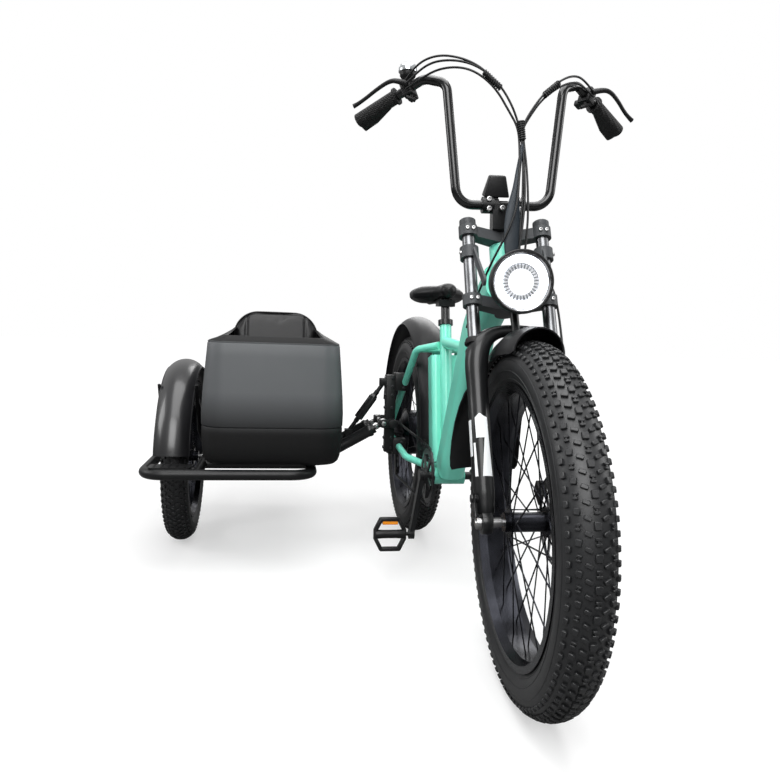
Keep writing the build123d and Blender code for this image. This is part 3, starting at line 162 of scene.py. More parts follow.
def feed(tree, value, socket):
    """Link a signal to a socket, or set the socket's own value."""
    if isinstance(value, Signal):
        tree.links.new(value.socket, socket)
    else:
        socket.default_value = value


class Finish:
    """A material, its shader and the nodes that colour it."""

    def __init__(self, name, colour, roughness, metallic=0.0, **more):
        self.material = bpy.data.materials.new(name)
        self.material.use_nodes = True
        self.tree = self.material.node_tree
        self.shader = self.tree.nodes["Principled BSDF"]
        self.place = self.node("ShaderNodeTexCoord", output="Object")
        self.set(Base_Color=colour, Roughness=roughness, Metallic=metallic, **more)

    def node(self, kind, inputs=None, output=0, ramp=None, **settings):
        """A new node: its settings first, then the values or links of its sockets."""
        made = self.tree.nodes.new(kind)
        for key, value in settings.items():
            setattr(made, key, value)
        if ramp:
            stops = made.color_ramp.elements
            for number, (where, shade) in enumerate(ramp):
                stop = stops[number] if number < 2 else stops.new(where)
                stop.position = where
                stop.color = shade
        for key, value in (inputs or {}).items():
            feed(self.tree, value, made.inputs[key])
        return Signal(self.tree, made.outputs[output])

    def set(self, **values):
        """Set or link sockets of the shader, with an underscore for each blank."""
        for key, value in values.items():
            feed(self.tree, value, self.shader.inputs[key.replace("_", " ")])
        return self

    def mix(self, factor, first, second):
        """Blend of two colours."""
        return self.node("ShaderNodeMix", {0: factor, 6: first, 7: second}, output=2, data_type="RGBA")

    def noise(self, scale, detail, place=None):
        """Cloudy pattern of bumps, from 0 to 1, with that many to the metre."""
        where = place or self.place
        return self.node("ShaderNodeTexNoise", {"Vector": where, "Scale": scale, "Detail": detail})

    def cells(self, scale):
        """Pattern of rounded cells, with that many to the metre."""
        return self.node("ShaderNodeTexVoronoi", {"Vector": self.place, "Scale": scale}, output="Distance")

    def axis(self, name):
        """One coordinate of the piece, in metres."""
        return self.node("ShaderNodeSeparateXYZ", {"Vector": self.place}, output=name)

    def blotch(self, pattern, first, second):
        """Colour that goes from one to another with a pattern."""
        return self.set(Base_Color=self.mix(pattern, first, second))

    def uneven(self, pattern, roughness, spread):
        """Roughness that a pattern varies about its mean."""
        return self.set(Roughness=pattern * spread + (roughness - spread / 2))

    def emboss(self, height, depth, strength=1.0):
        """Raise the surface by a height pattern, in metres of depth."""
        bump = self.node("ShaderNodeBump", {"Height": height, "Distance": depth, "Strength": strength},
                         output="Normal")
        return self.set(Normal=bump)


def rgb(red, green, blue):
    """Colour as a screen shows it, from 0 to 255, made linear for the shader."""
    def linear(value):
        value /= 255
        return value / 12.92 if value <= 0.04045 else ((value + 0.055) / 1.055) ** 2.4
    return (linear(red), linear(green), linear(blue), 1.0)


def shade(colour, factor, lift=0.0):
    """Colour made paler or darker."""
    return tuple(min(1.0, value * factor + lift) for value in colour[:3]) + (1.0,)

# %% [markdown]
# ## Finishes
#
# Most of this bicycle is black, so the blacks have to differ: powder coat is finely pebbled, moulded
# plastic has a leather-like grain and a soft sheen, rubber has patches of grey dust, and anodised rims
# mirror the light.

# %% Paints and metals
def powder_coat(name, colour, roughness, pebble=2600, depth=0.00006, coat=0.0, shine=0.28):
    """Baked paint: a fine pebble over the whole surface and slow changes of gloss."""
    finish = Finish(name, colour, roughness)
    clouds = finish.noise(9, 3)
    finish.blotch(clouds, colour, shade(colour, 1.25, 0.004)).uneven(clouds, roughness, 0.12)
    finish.set(Coat_Weight=coat, Coat_Roughness=0.12, Specular_IOR_Level=shine)
    return finish.emboss(finish.noise(pebble, 1), depth) if depth else finish


def bare_metal(name, colour, roughness, lines=900, depth=0.00003):
    """Machined or drawn metal: fine lines that break up its reflections."""
    finish = Finish(name, colour, roughness, 1.0)
    stretched = finish.node("ShaderNodeMapping", {"Vector": finish.place, "Scale": (1.0, 12.0, 1.0)})
    streaks = finish.noise(lines, 2, stretched)
    stains = finish.noise(26, 4)
    finish.blotch(stains.over(0.56, 0.3), colour, shade(colour, 0.62)).uneven(streaks, roughness, 0.16)
    return finish.emboss(streaks, depth)


mint = powder_coat("mint_paint", rgb(118, 220, 196), 0.34, pebble=1500, depth=0.00003, coat=0.35, shine=0.5)
frame_black = powder_coat("black_powder_coat", rgb(15, 15, 16), 0.40)
fork_black = powder_coat("fork_black", rgb(15, 16, 17), 0.34, pebble=1800, depth=0.00003, coat=0.2)
crown_grey = powder_coat("crown_grey", rgb(60, 62, 64), 0.46, pebble=1800, depth=0.00004)
bar_black = powder_coat("gloss_black_bar", rgb(9, 10, 11), 0.20, depth=0, coat=0.45)
rim_black = bare_metal("anodised_black", rgb(52, 53, 58), 0.26)
polished = bare_metal("polished_leg", rgb(116, 117, 119), 0.30, lines=40, depth=0.000001)
chrome = bare_metal("chrome_bell", rgb(205, 208, 210), 0.1, lines=40, depth=0.000002)
stripe_white = powder_coat("stripe_white", rgb(226, 229, 231), 0.4)
steel = bare_metal("bare_steel", rgb(186, 186, 186), 0.32)
dark_steel = bare_metal("dark_steel", rgb(70, 70, 72), 0.38)
print("paints and metals ready")

# %% Plastics and rubbers
DULL = 0.3                  # specular level of what isn't painted
# above this groove the tub gets painted shade again, as it does below its crease
RIM_HEIGHT = 0.7035         # metres up to the groove below the tub's rim, which is dark again


def moulded(name, colour, roughness, grain=620, depth=0.00025):
    """Moulded plastic with a cast-in grain of small rounded cells."""
    finish = Finish(name, colour, roughness)
    pits = finish.cells(grain)
    clouds = finish.noise(7, 4)
    finish.blotch(clouds, colour, shade(colour, 1.5, 0.004)).uneven(clouds, roughness, 0.16)
    finish.set(Specular_IOR_Level=DULL)
    return finish.emboss(pits, depth, 0.5)


def rubber(name, colour, roughness, dust=0.5):
    """Rubber: patches of grey dust over a slightly uneven skin."""
    finish = Finish(name, colour, roughness)
    clouds = finish.noise(30, 5)
    fine = finish.noise(700, 3)
    finish.blotch(clouds.over(0.5, 0.5), colour, shade(colour, 1.0, 0.018 * dust))
    finish.uneven(fine, roughness, 0.18).set(Specular_IOR_Level=DULL)
    return finish.emboss(fine, 0.0002, 0.6)


def sheen_over_shade(name, painted_sheen_colour, lower, edge, soft, roughness):
    """Moulded plastic with painted light: a paler painted sheen in a band above a height, and darker painted
    shade below it and above the rim's groove.
    """
    finish = moulded(name, painted_sheen_colour, roughness)
    clouds = finish.noise(5, 3)
    # painted sheen between the crease and the rim's groove; painted shade below the crease and above the
    # groove
    painted_sheen_band = finish.axis("Z").over(edge, soft) * (1 - finish.axis("Z").over(RIM_HEIGHT, 0.004))
    cloudy = finish.mix(clouds, painted_sheen_colour, shade(painted_sheen_colour, 1.22))
    finish.blotch(painted_sheen_band, lower, cloudy).set(Roughness=0.60 - painted_sheen_band * 0.12)
    return finish


# the first colour is a painted sheen on black plastic, the second is painted shade on its underside and rim
tub_plastic_painted_light = sheen_over_shade("tub_plastic_painted_light", rgb(80, 82, 84), rgb(7, 7, 8), 0.496, 0.120, 0.46)
fender_plastic = moulded("fender_plastic", rgb(13, 13, 15), 0.38, grain=900, depth=0.0001)
case_plastic = moulded("case_plastic", rgb(12, 12, 13), 0.42, grain=1200, depth=0.00008)
fender_gloss = powder_coat("fender_gloss", rgb(16, 16, 18), 0.30, depth=0, coat=0.28, shine=0.5)
grip_rubber = rubber("grip_rubber", rgb(15, 15, 16), 0.60)
cable_rubber = rubber("cable_jacket", rgb(11, 12, 13), 0.40, 0.2)
tread_rubber = rubber("tread_rubber", rgb(19, 20, 22), 0.44, 0.5).set(Specular_IOR_Level=0.5)
sleeve_cloth = rubber("sleeve_cloth", rgb(30, 38, 45), 0.48, 0.3)
knurl = rubber("grip_knurl", rgb(15, 15, 16), 0.56)
rising = knurl.axis("X") + knurl.axis("Z")
falling = knurl.axis("X") - knurl.axis("Z")
knurl.emboss(rising.wave(170) * falling.wave(170), 0.0010)


def hide(name, colour, roughness):
    """Seat covering: creased cells of two sizes, its gloss changing in slow patches."""
    finish = Finish(name, colour, roughness)
    creases = finish.cells(330)
    fine = finish.cells(1100)
    wear = finish.noise(11, 4)
    finish.blotch(wear.over(0.5, 0.4), colour, shade(colour, 1.8, 0.004)).uneven(wear, roughness, 0.2)
    finish.set(Specular_IOR_Level=DULL)
    return finish.emboss(creases * 0.7 + fine * 0.3, 0.0004, 0.55)


leather = hide("black_leather", rgb(12, 12, 13), 0.38)
print("plastics, rubbers and covering ready")

# %% Optics and small colours
def glowing(name, colour, strength):
    """A lit surface."""
    finish = Finish(name, colour, 0.4)
    sparkle = finish.noise(220, 2)
    finish.set(Emission_Color=finish.mix(sparkle, colour, (1.0, 1.0, 1.0, 1.0)), Emission_Strength=strength)
    return finish


def clear(name, colour):
    """Clear cover with faint moulded waves."""
    finish = Finish(name, colour, 0.03, IOR=1.45, Transmission_Weight=1.0)
    return finish.emboss(finish.noise(60, 1), 0.0002, 0.4)


def reflector(name, colour):
    """Prismatic reflector under a clear face, its prism cells paler in their middles as a painted glint."""
    finish = Finish(name, colour, 0.18, Coat_Weight=0.6)
    prism_cells_and_glints = finish.cells(420)
    # the paler middle of each prism cell is a painted glint; the same cells raise the prisms
    return finish.blotch(prism_cells_and_glints, shade(colour, 1.7), colour).emboss(prism_cells_and_glints, 0.0006)


led_white = glowing("led_white", rgb(245, 250, 255), 2.2)
lamp_facet = powder_coat("lamp_facet", rgb(120, 124, 128), 0.3)
lamp_glass = clear("lamp_glass", (1.0, 1.0, 1.0, 1.0))
amber = reflector("amber_reflector", rgb(240, 130, 20))
mirror_metal = bare_metal("lamp_reflector", rgb(235, 236, 240), 0.14, lines=120)
screen_black = powder_coat("screen_black", rgb(8, 9, 12), 0.12, pebble=300, depth=0.00001, coat=1.0)
print("optics ready")

# %% [markdown]
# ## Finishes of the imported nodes
#
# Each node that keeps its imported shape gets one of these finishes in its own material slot.

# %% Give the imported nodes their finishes
node_finishes = {
    mint: ["front_frame", "rear_triangle", "battery_pack"],
    frame_black: ["headset", "link_bracket", "link_arms", "turnbuckle", "sidecar_frame", "sidecar_step",
                  "front_fender_bracket", "rear_derailleur", "rear_caliper", "front_caliper"],
    crown_grey: ["fork_crowns", "lamp_bracket"],
    fork_black: ["fork_lowers", "stem", "crankset", "seat_post"],
    bar_black: ["handlebar"],
    rim_black: ["front_wheel", "rear_wheel", "sidecar_wheel"],
    polished: ["fork_stanchions"],
    steel: ["front_axle", "rear_axle", "sidecar_axle", "link_pins", "front_disc", "rear_disc"],
    dark_steel: ["chain", "cassette"],
    tub_plastic_painted_light: ["sidecar_tub"],
    fender_plastic: ["front_fender", "rear_fender", "sidecar_fender"],
    case_plastic: ["brake_levers", "display", "bell", "lamp_housing", "pedal_right", "pedal_left"],
    knurl: ["grips"],
    cable_rubber: ["control_cables", "cable_sleeve"],
    tread_rubber: ["front_tyre", "rear_tyre", "sidecar_tyre"],
    leather: ["saddle", "seat_cushion", "backrest"],
    lamp_glass: ["lamp_lens"],
}
for finish, names in node_finishes.items():
    for name in names:
        mesh = nodes[name].data
        mesh.materials.clear()
        mesh.materials.append(finish.material)
print("finished", sum(len(names) for names in node_finishes.values()), "nodes")

# %% [markdown]
# ## Helpers for new pieces
#
# A wheel part is a profile that is spun round the axle, and a moulded one is a skin over rings of points.
# Small parts start from one of Blender's own forms. Every piece ends the same way: its doubles are merged,
# its faces are turned outwards where its making left them in doubt, and it rides on its body.

# %% Spin, loft, stamp and publish
SAME_SPOT = 0.000002        # metres within which two vertices are one


def end_mesh(work, name="pattern"):
    """Finish bmesh work as a mesh."""
    mesh = bpy.data.meshes.new(name)
    work.to_mesh(mesh)
    work.free()
    return mesh


def string(work, spots, closed=True):
    """Vertices at points, and the edges that join them in turn."""
    corners = [work.verts.new(spot) for spot in spots]
    following = corners[1:] + corners[:1] if closed else corners[1:]
    return corners, [work.edges.new(pair) for pair in zip(corners, following)]


def revolve(work, spots, axis, steps, closed):
    """Spin a line of points right round an axis."""
    corners, edges = string(work, spots, closed)
    bmesh.ops.spin(work, geom=corners + edges, cent=(0, 0, 0), axis=axis, angle=2 * pi, steps=steps,
                   use_merge=True)


def bridge(work, loops):
    """Skin each line of edges to the next one."""
    for first, second in zip(loops, loops[1:]):
        bmesh.ops.bridge_loops(work, edges=first + second)


def loft(work, loops):
    """Skin rings of edges and close both ends."""
    bridge(work, loops)
    for end in (loops[0], loops[-1]):
        bmesh.ops.contextual_create(work, geom=end)


def stamp(work, pattern, place=Matrix.Identity(4)):
    """Add a copy of a pattern mesh at a place."""
    copy = pattern.copy()
    copy.transform(place)
    work.from_mesh(copy)
    bpy.data.meshes.remove(copy)


def block(length, width, height, bevel, segments=1, taper=1.0):
    """Box with bevelled edges, its top narrowed by a taper, as a pattern mesh."""
    work = bmesh.new()
    bmesh.ops.create_cube(work, size=1.0, matrix=Matrix.Diagonal((length, width, height, 1)))
    top = [vertex for vertex in work.verts if vertex.co.z > 0]
    bmesh.ops.scale(work, vec=(taper, taper, 1.0), verts=top)
    bmesh.ops.bevel(work, geom=work.edges[:], offset=bevel, segments=segments, affect="EDGES", profile=0.5,
                    material=-1)
    return end_mesh(work)


def post(radius, length, sides, bevel=0.0):
    """Round bar along z from the origin, as a pattern mesh."""
    work = bmesh.new()
    bmesh.ops.create_cone(work, cap_ends=True, segments=sides, radius1=radius, radius2=radius, depth=length,
                          matrix=Matrix.Translation((0, 0, length / 2)))
    if bevel:
        rims = [edge for edge in work.edges
                if len(edge.link_faces) == 2 and any(len(face.verts) > 4 for face in edge.link_faces)]
        bmesh.ops.bevel(work, geom=rims, offset=bevel, segments=2, affect="EDGES", profile=0.5, material=-1)
    return end_mesh(work)


def between(start, end):
    """Place whose z axis runs from one point towards another."""
    way = Vector(end) - Vector(start)
    return Matrix.Translation(start) @ way.to_track_quat("Z", "Y").to_matrix().to_4x4()


HOME = {"frame": BIKE, "steering": STEERED}


def publish(work, name, body, finish, place=None, smooth=40, swap=(), outward=False):
    """Turn finished bmesh work into a piece that rides on a body; outward turns its faces out first."""
    bmesh.ops.remove_doubles(work, verts=work.verts, dist=SAME_SPOT)
    if outward:
        bmesh.ops.recalc_face_normals(work, faces=work.faces)
    mesh = end_mesh(work, name)
    mesh.transform(HOME[body] if place is None else place)
    mesh.materials.append(finish.material)
    mesh.shade_smooth()
    mesh.set_sharp_from_angle(angle=radians(smooth))
    piece = bpy.data.objects.new(name, mesh)
    bpy.context.scene.collection.objects.link(piece)
    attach(piece, body)
    if swap:
        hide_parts(*swap)
    print(name, "faces", len(mesh.polygons))

# %% [markdown]
# ## Small hardware
#
# Screws, nuts and caps are the same few turned shapes many times over. Each is modelled once, as a pattern
# along z, and stamped where the vehicle has one. A socket in a screw's head is an inset face that is pushed
# down.

# %% Turned patterns, screws and tubes
def turned(profile, steps, closed=False):
    """Pattern mesh spun round the z axis from rows of radius and height, in millimetres."""
    work = bmesh.new()
    revolve(work, [mm(radius, 0, height) for radius, height in profile], (0, 0, 1), steps, closed)
    bmesh.ops.remove_doubles(work, verts=work.verts, dist=SAME_SPOT)
    bmesh.ops.recalc_face_normals(work, faces=work.faces)
    return end_mesh(work)


def screw(radius, height):
    """Socket-head screw along z from its seat, with a six-sided recess."""
    work = bmesh.new()
    bmesh.ops.create_cone(work, cap_ends=True, segments=20, radius1=radius, radius2=radius, depth=height,
                          matrix=Matrix.Translation((0, 0, height / 2)))
    rim = [edge for edge in work.edges if all(vertex.co.z > height * 0.9 for vertex in edge.verts)]
    bmesh.ops.bevel(work, geom=rim, offset=radius * 0.16, segments=2, affect="EDGES", profile=0.5,
                    material=-1)
    top = max(work.faces, key=lambda face: face.calc_center_median().z)
    bmesh.ops.inset_individual(work, faces=[top], thickness=radius * 0.3)
    pushed = bmesh.ops.extrude_discrete_faces(work, faces=[top])["faces"][0]
    bmesh.ops.translate(work, vec=(0, 0, -height * 0.5), verts=pushed.verts)
    return end_mesh(work)


def drawn(rows, depth, roundness, steps=6, kind="NURBS"):
    """Pattern mesh of a round bar along rows of a point and the share of its full radius there."""
    data = bpy.data.curves.new("bar", "CURVE")
    data.dimensions = "3D"
    data.bevel_depth = depth
    data.bevel_resolution = roundness
    data.use_fill_caps = True
    spline = data.splines.new(kind)
    spline.points.add(len(rows) - 1)
    for point, (place, share) in zip(spline.points, rows):
        point.co = (*place, 1.0)
        point.radius = share
    if kind == "NURBS":
        spline.order_u = 3
        spline.use_endpoint_u = True
        spline.resolution_u = steps
    holder = bpy.data.objects.new("bar", data)
    mesh = bpy.data.meshes.new_from_object(holder)
    bpy.data.objects.remove(holder)
    return mesh


def tube(points, radius, sides, smooth=True):
    """Pattern mesh of a round tube along points, with rounded or sharp bends."""
    kind = "NURBS" if smooth else "POLY"
    return drawn([(point, 1.0) for point in points], radius, max(1, (sides - 4) // 2), kind=kind)


def swollen(rows):
    """Pattern mesh of a smooth bar from rows of a point and the radius there, in millimetres."""
    return drawn([(point, radius / 1000) for point, radius in rows], 1.0, 6, steps=8)


def fork(forward, left, along):
    """Point on the straight-ahead fork, in millimetres forward, left and up the legs from the axle."""
    return front_axle + leg_forward * (forward / 1000) + Vector((0, left / 1000, 0)) + leg_up * (along / 1000)


def on_leg(forward, left, along):
    """Place on the fork whose z runs up the legs and whose x points forward."""
    return Matrix.Translation(fork(forward, left, along)) @ UP_LEG


def grip_ends(side):
    """Inner and outer end of a grip; side is -1 on the rider's right and 1 on the left."""
    return mm(300.8, side * 207.7, 1331.7), mm(215, side * 329, 1275)


UP_LEG = Matrix((leg_forward, Vector((0, 1, 0)), leg_up)).transposed().to_4x4()
LEG = 86.5                  # millimetres from the wheel's plane to the middle of a leg
small_screw = screw(0.0042, 0.0042)
big_screw = screw(0.0062, 0.0062)
print("patterns ready")

# %% [markdown]
# ## Tyres
#
# The tread is what makes a fat tyre. Its carcass is one spun ring, and its knobs stand well apart on it in
# seven rows that repeat ninety-six times: siped blocks in the middle, slanted bars beside them, then square
# blocks and small shoulder studs. Each knob is one bevelled block that is stamped round the ring, so the
# rows stay exact.

# %% Tread table and tyre maker
TREAD_ROWS = [              # degrees from the crown, length, width, slant, share of a pitch
    (0, 0.0130, 0.0115, 0, 0.0),
    (17, 0.0070, 0.0125, 24, 0.5),
    (-17, 0.0070, 0.0125, -24, 0.5),
    (35, 0.0110, 0.0105, 8, 0.05),
    (-35, 0.0110, 0.0105, -8, 0.05),
    (55, 0.0105, 0.0085, 0, 0.55),
    (-55, 0.0105, 0.0085, 0, 0.55),
]


KNOB = 0.0048               # metres that a knob stands out of the carcass
SUNK = 0.001                # metres of it inside


def spin_ring(work, profile, closed):
    """Spin rows of radius and distance along the axle round the axle."""
    revolve(work, [(radius, along, 0.0) for radius, along in profile], (0, 1, 0), 120, closed)


def tyre(where, radius, section, rim_half, pitches, place):
    """Carcass with sidewall rings and stamped knobs, about the y axis."""
    work = bmesh.new()
    middle = radius - section
    wall = section - KNOB
    bead = asin(min(1.0, rim_half / wall))
    steps = 32
    reach = pi - bead
    profile = []
    for number in range(steps + 1):
        angle = -reach + 2 * reach * number / steps
        profile.append((middle + wall * cos(angle), wall * sin(angle)))
    low, high = profile[0], profile[-1]
    profile = [(low[0] - 0.009, low[1] + 0.004)] + profile + [(high[0] - 0.009, high[1] - 0.004)]
    spin_ring(work, profile, False)
    bmesh.ops.recalc_face_normals(work, faces=work.faces)
    for angle, thick in ((74, 0.0008), (101, 0.0010), (122, 0.0012)):
        for side in (-1, 1):
            x = middle + wall * cos(radians(angle))
            y = side * wall * sin(radians(angle))
            ring = [(x + thick * cos(turn), y + thick * sin(turn)) for turn in (0, pi / 2, pi, 3 * pi / 2)]
            spin_ring(work, ring, True)
    tall = KNOB + SUNK
    for row, (angle, length, width, slant, share) in enumerate(TREAD_ROWS):
        knob = block(tall, width, length, 0.0011)
        bar = block(tall * 0.92, width * 0.82, length * 0.36, 0.0008)
        web = block(tall * 0.8, width * 0.3, length * 0.5, 0.0004)
        for pitch in range(pitches):
            turn = Matrix.Rotation(2 * pi * (pitch + share) / pitches, 4, "Y")
            lean = rot(angle, "Z")
            rise = Matrix.Translation((wall + tall / 2 - SUNK, 0, 0))
            spot = turn @ Matrix.Translation((middle, 0, 0)) @ lean @ rise @ rot(slant, "X")
            if (row == 0 and pitch % 2) or (row in (3, 4) and not pitch % 2):
                for shift in (-0.32, 0.32):
                    stamp(work, bar, spot @ Matrix.Translation((0, 0, shift * length)))
                stamp(work, web, spot @ Matrix.Translation((-0.0006, 0, 0)))
            else:
                stamp(work, knob, spot)
    publish(work, where + "_tyre_tread", where + "_wheel", tread_rubber, place, smooth=38,
            swap=(where + "_tyre",))


front_spot = STEERED @ Matrix.Translation(front_axle)
rear_spot = BIKE @ Matrix.Translation(rear_centre)
sidecar_spot = BIKE @ Matrix.Translation(sidecar_axle)
tyre("front", 0.370, 0.052, 0.041, 96, front_spot)
tyre("rear", 0.370, 0.052, 0.041, 96, rear_spot)
tyre("sidecar", 0.289, 0.047, 0.037, 74, sidecar_spot)

# %% [markdown]
# ## Headlamp
#
# The lamp is a bowl with a rolled bezel. Behind its clear cover a bright disc sits inside a wide glowing
# ring, and thirty small facets stand round the disc. All the rings are spun, and the facets are stamped
# bars.

# %% Lamp bowl, reflector, facets and cover
LAMP = STEERED @ at(505, 0, 862) @ rot(90, "Y")


def lamp_piece(name, profile, finish, swap=(), closed=False):
    """Turned lamp part; heights run forward from the middle of the lamp's depth, in millimetres."""
    work = bmesh.new()
    stamp(work, turned(profile, 72, closed))
    publish(work, name, "steering", finish, LAMP, smooth=35, swap=swap)


lamp_piece("lamp_bowl", [(0, -37), (24, -37), (40, -34), (52, -27), (60, -16), (64, -4), (65, 8),
                         (66.5, 14), (67.5, 22), (68, 30), (67.6, 35), (66, 37), (63.6, 37), (62.4, 35.5),
                         (61.8, 33), (61.6, 20), (0, 18)],
           case_plastic, swap=("lamp_housing",))
lamp_piece("lamp_reflector", [(61.2, 33), (58.5, 31), (57, 28), (56.5, 24), (38, 20.5), (37, 22), (36, 22),
                              (0, 20.6)],
           mirror_metal)
lamp_piece("lamp_glow_ring", [(56.3, 27.5), (40.5, 23.2), (40, 22.4), (56.2, 26.2)], led_white, closed=True)
lamp_piece("lamp_glow_disc", [(0, 24.2), (20, 24), (26.5, 23), (27, 21.5)], led_white)
facets = bmesh.new()
facet = block(0.0105, 0.0034, 0.003, 0.0004, taper=0.7)
for number in range(30):
    turn = Matrix.Rotation(2 * pi * number / 30, 4, "Z")
    stamp(facets, facet, turn @ at(33.4, 0, 23.4))
publish(facets, "lamp_facets", "steering", lamp_facet, LAMP)
lamp_piece("lamp_cover", [(0, 32.6), (30, 32.2), (50, 31.2), (59.5, 29.8), (61.3, 28.6), (61.3, 27.4),
                          (50, 29.2), (30, 30.2), (0, 30.6)], lamp_glass, swap=("lamp_lens",))

# %% [markdown]
# ## Tub
#
# The sidecar's body is one rotomoulded shell. It is lofted here from rounded outlines that flare at the
# front corners below, have a crease above the lower part and turn in to a broad bevelled rim. Its black
# plastic carries painted light: a paler painted sheen above the crease, and painted shade below it and on
# the rim. The opening goes on from the rim inwards and down again, and the seat stands on a raised base
# inside.

# %% Loft the tub
TUB_Y = -527                # millimetres from the bicycle's plane to the tub's
ARC_STEPS = 12


def tub_loop(work, z_front, z_rear, half, x_front, x_rear, corner, inset=0, flare=0):
    """Rounded rectangle whose z changes from its front to its rear, in millimetres."""
    spots = []
    x_front, x_rear, half, corner = x_front - inset, x_rear + inset, half - inset, max(4, corner - inset)
    for quarter, (x_sign, y_sign) in enumerate(((1, 1), (-1, 1), (-1, -1), (1, -1))):
        for step in range(ARC_STEPS + 1):
            angle = pi / 2 * (quarter + step / ARC_STEPS)
            x = (x_front if x_sign > 0 else x_rear) - x_sign * corner + corner * cos(angle)
            y = y_sign * (half - corner) + corner * sin(angle)
            z = z_front + (z_rear - z_front) * (x_front - x) / (x_front - x_rear)
            y += copysign(flare * min(1.0, max(0.0, (x + 335) / 110)) * min(1.0, abs(y) / (half * 0.7)), y)
            spots.append(mm(x, y + TUB_Y, z))
    return string(work, spots)[1]


TUB_ROWS = [                # z front, z rear, half width, front x, rear x, corner, inset, flare
    (330.2, 330.2, 140, -166, -862, 46, 8, 24),
    (330.6, 330.6, 150, -156, -868, 48, 0, 26),
    (335, 335, 165, -138, -876, 56, 0, 28),
    (344, 344, 177, -126, -885, 62, 0, 25),
    (358, 358, 187, -117, -893, 68, 0, 20),
    (376, 376, 196.5, -110, -902, 72, 0, 13),
    (398, 398, 204.5, -105.5, -908, 76, 0, 7),
    (428, 428, 210.5, -102.5, -915, 78, 0, 2),
    (446, 446, 212.4, -101.2, -918, 79, 0, 0),
    (450, 450, 211.3, -102.4, -917, 79, 0, 0),
    (454, 454, 213.2, -99.6, -919, 78, 0, 0),
    (490, 492, 213.6, -99, -919, 75, 0, 0),
    (540, 545, 211, -104, -916.5, 70, 0, 0),
    (600, 608, 206.5, -112, -911.5, 64, 0, 0),
    (660, 672, 201.5, -119, -907, 59, 0, 0),
    (696, 710, 198.4, -123.6, -904.4, 56, 0, 0),
    (700, 713.5, 196.4, -125.6, -902.4, 54, 0, 0),
    (701.5, 715.5, 197.4, -124.6, -903.4, 54, 0, 0),
    (704.5, 719, 195.6, -125.0, -902.6, 53, 0, 0),
    (707, 722, 191, -125.6, -899, 50, 0, 0),
    (714, 738, 170, -128, -891, 40, 0, 0),
    (720.5, 752, 154.5, -130.6, -886, 33, 0, 0),
    (722, 756, 150, -132.4, -884, 31, 0, 0),
]
MOUTH_ROWS = [              # the same for the opening, from the rim down to its floor
    (721.4, 754, 146, -137, -716, 26), (716, 749, 142, -141, -714, 24), (700, 712, 176, -132, -720, 44),
    (470, 474, 203, -110, -730, 60), (345, 345, 170, -150, -735, 60),
]
work = bmesh.new()
loft(work, [tub_loop(work, *row) for row in TUB_ROWS + MOUTH_ROWS])
stamp(work, block(0.300, 0.240, 0.024, 0.006, 3), at(-455, TUB_Y, 348))
publish(work, "tub_shell", "frame", tub_plastic_painted_light, smooth=24, swap=("sidecar_tub",),
        outward=True)

# %% [markdown]
# ## Pads
#
# A pad is a skin pulled tight over foam, so its sides bulge and its edges soften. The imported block, or for
# the saddle a lofted pattern, is remeshed into even quads, blown up a little as cloth under pressure, and
# held within a few millimetres of where it was. Sewn channels are pressed in afterwards, because a remesh
# would wipe them out.

# %% Blow up a pad
CLOTH_FRAMES = 20
FAR = 1.0                   # metres, where a seam isn't to be seen


def stuffed(name, node, voxel, cap, shrink=0.985, pattern=None):
    """Cloth-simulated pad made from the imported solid, or from a pattern in its place.

    No point moves further than the cap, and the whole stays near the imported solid's box.
    """
    work = bmesh.new()
    work.from_mesh(pattern or nodes[node].data)
    bmesh.ops.remove_doubles(work, verts=work.verts, dist=0.00001)
    low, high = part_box(node)
    middle = (low + high) / 2
    for vertex in work.verts:
        vertex.co = middle + (vertex.co - middle) * shrink
    pad = bpy.data.objects.new(name, end_mesh(work, name))
    bpy.context.scene.collection.objects.link(pad)
    remesh = pad.modifiers.new("even_quads", "REMESH")
    remesh.mode = "VOXEL"
    remesh.voxel_size = voxel
    ready = bpy.data.meshes.new_from_object(pad.evaluated_get(bpy.context.evaluated_depsgraph_get()))
    pad.modifiers.clear()
    pad.data = ready
    start = [vertex.co.copy() for vertex in ready.vertices]
    cloth = pad.modifiers.new("skin", "CLOTH")
    cloth.settings.quality = 5
    cloth.settings.mass = 0.3
    cloth.settings.use_pressure = True
    cloth.settings.uniform_pressure_force = 4.0
    cloth.settings.effector_weights.gravity = 0
    cloth.point_cache.frame_start = 1
    cloth.point_cache.frame_end = CLOTH_FRAMES
    for frame_number in range(1, CLOTH_FRAMES + 1):
        bpy.context.scene.frame_set(frame_number)
    blown = pad.evaluated_get(bpy.context.evaluated_depsgraph_get()).to_mesh()
    moved = [vertex.co.copy() for vertex in blown.vertices]
    pad.modifiers.clear()
    bpy.context.scene.frame_set(1)
    for vertex, was, now in zip(ready.vertices, start, moved):
        step = now - was
        vertex.co = was + step * min(1.0, cap / max(step.length, 1e-9))
    soften = bmesh.new()
    soften.from_mesh(ready)
    for _ in range(3):
        bmesh.ops.smooth_vert(soften, verts=soften.verts, factor=0.5, use_axis_x=True, use_axis_y=True,
                              use_axis_z=True)
    soften.to_mesh(ready)
    soften.free()
    spare = (0.008, 0.008, 0.008) if pattern else (0.004, 0.004, 0.0)
    for vertex in ready.vertices:
        for axis in range(3):
            vertex.co[axis] = min(max(vertex.co[axis], low[axis] - spare[axis]), high[axis] + 0.004)
    ready.materials.clear()
    ready.materials.append(leather.material)
    ready.shade_smooth()
    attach(pad, "frame")
    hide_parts(node)
    print(name, "points", len(ready.vertices))
    return pad


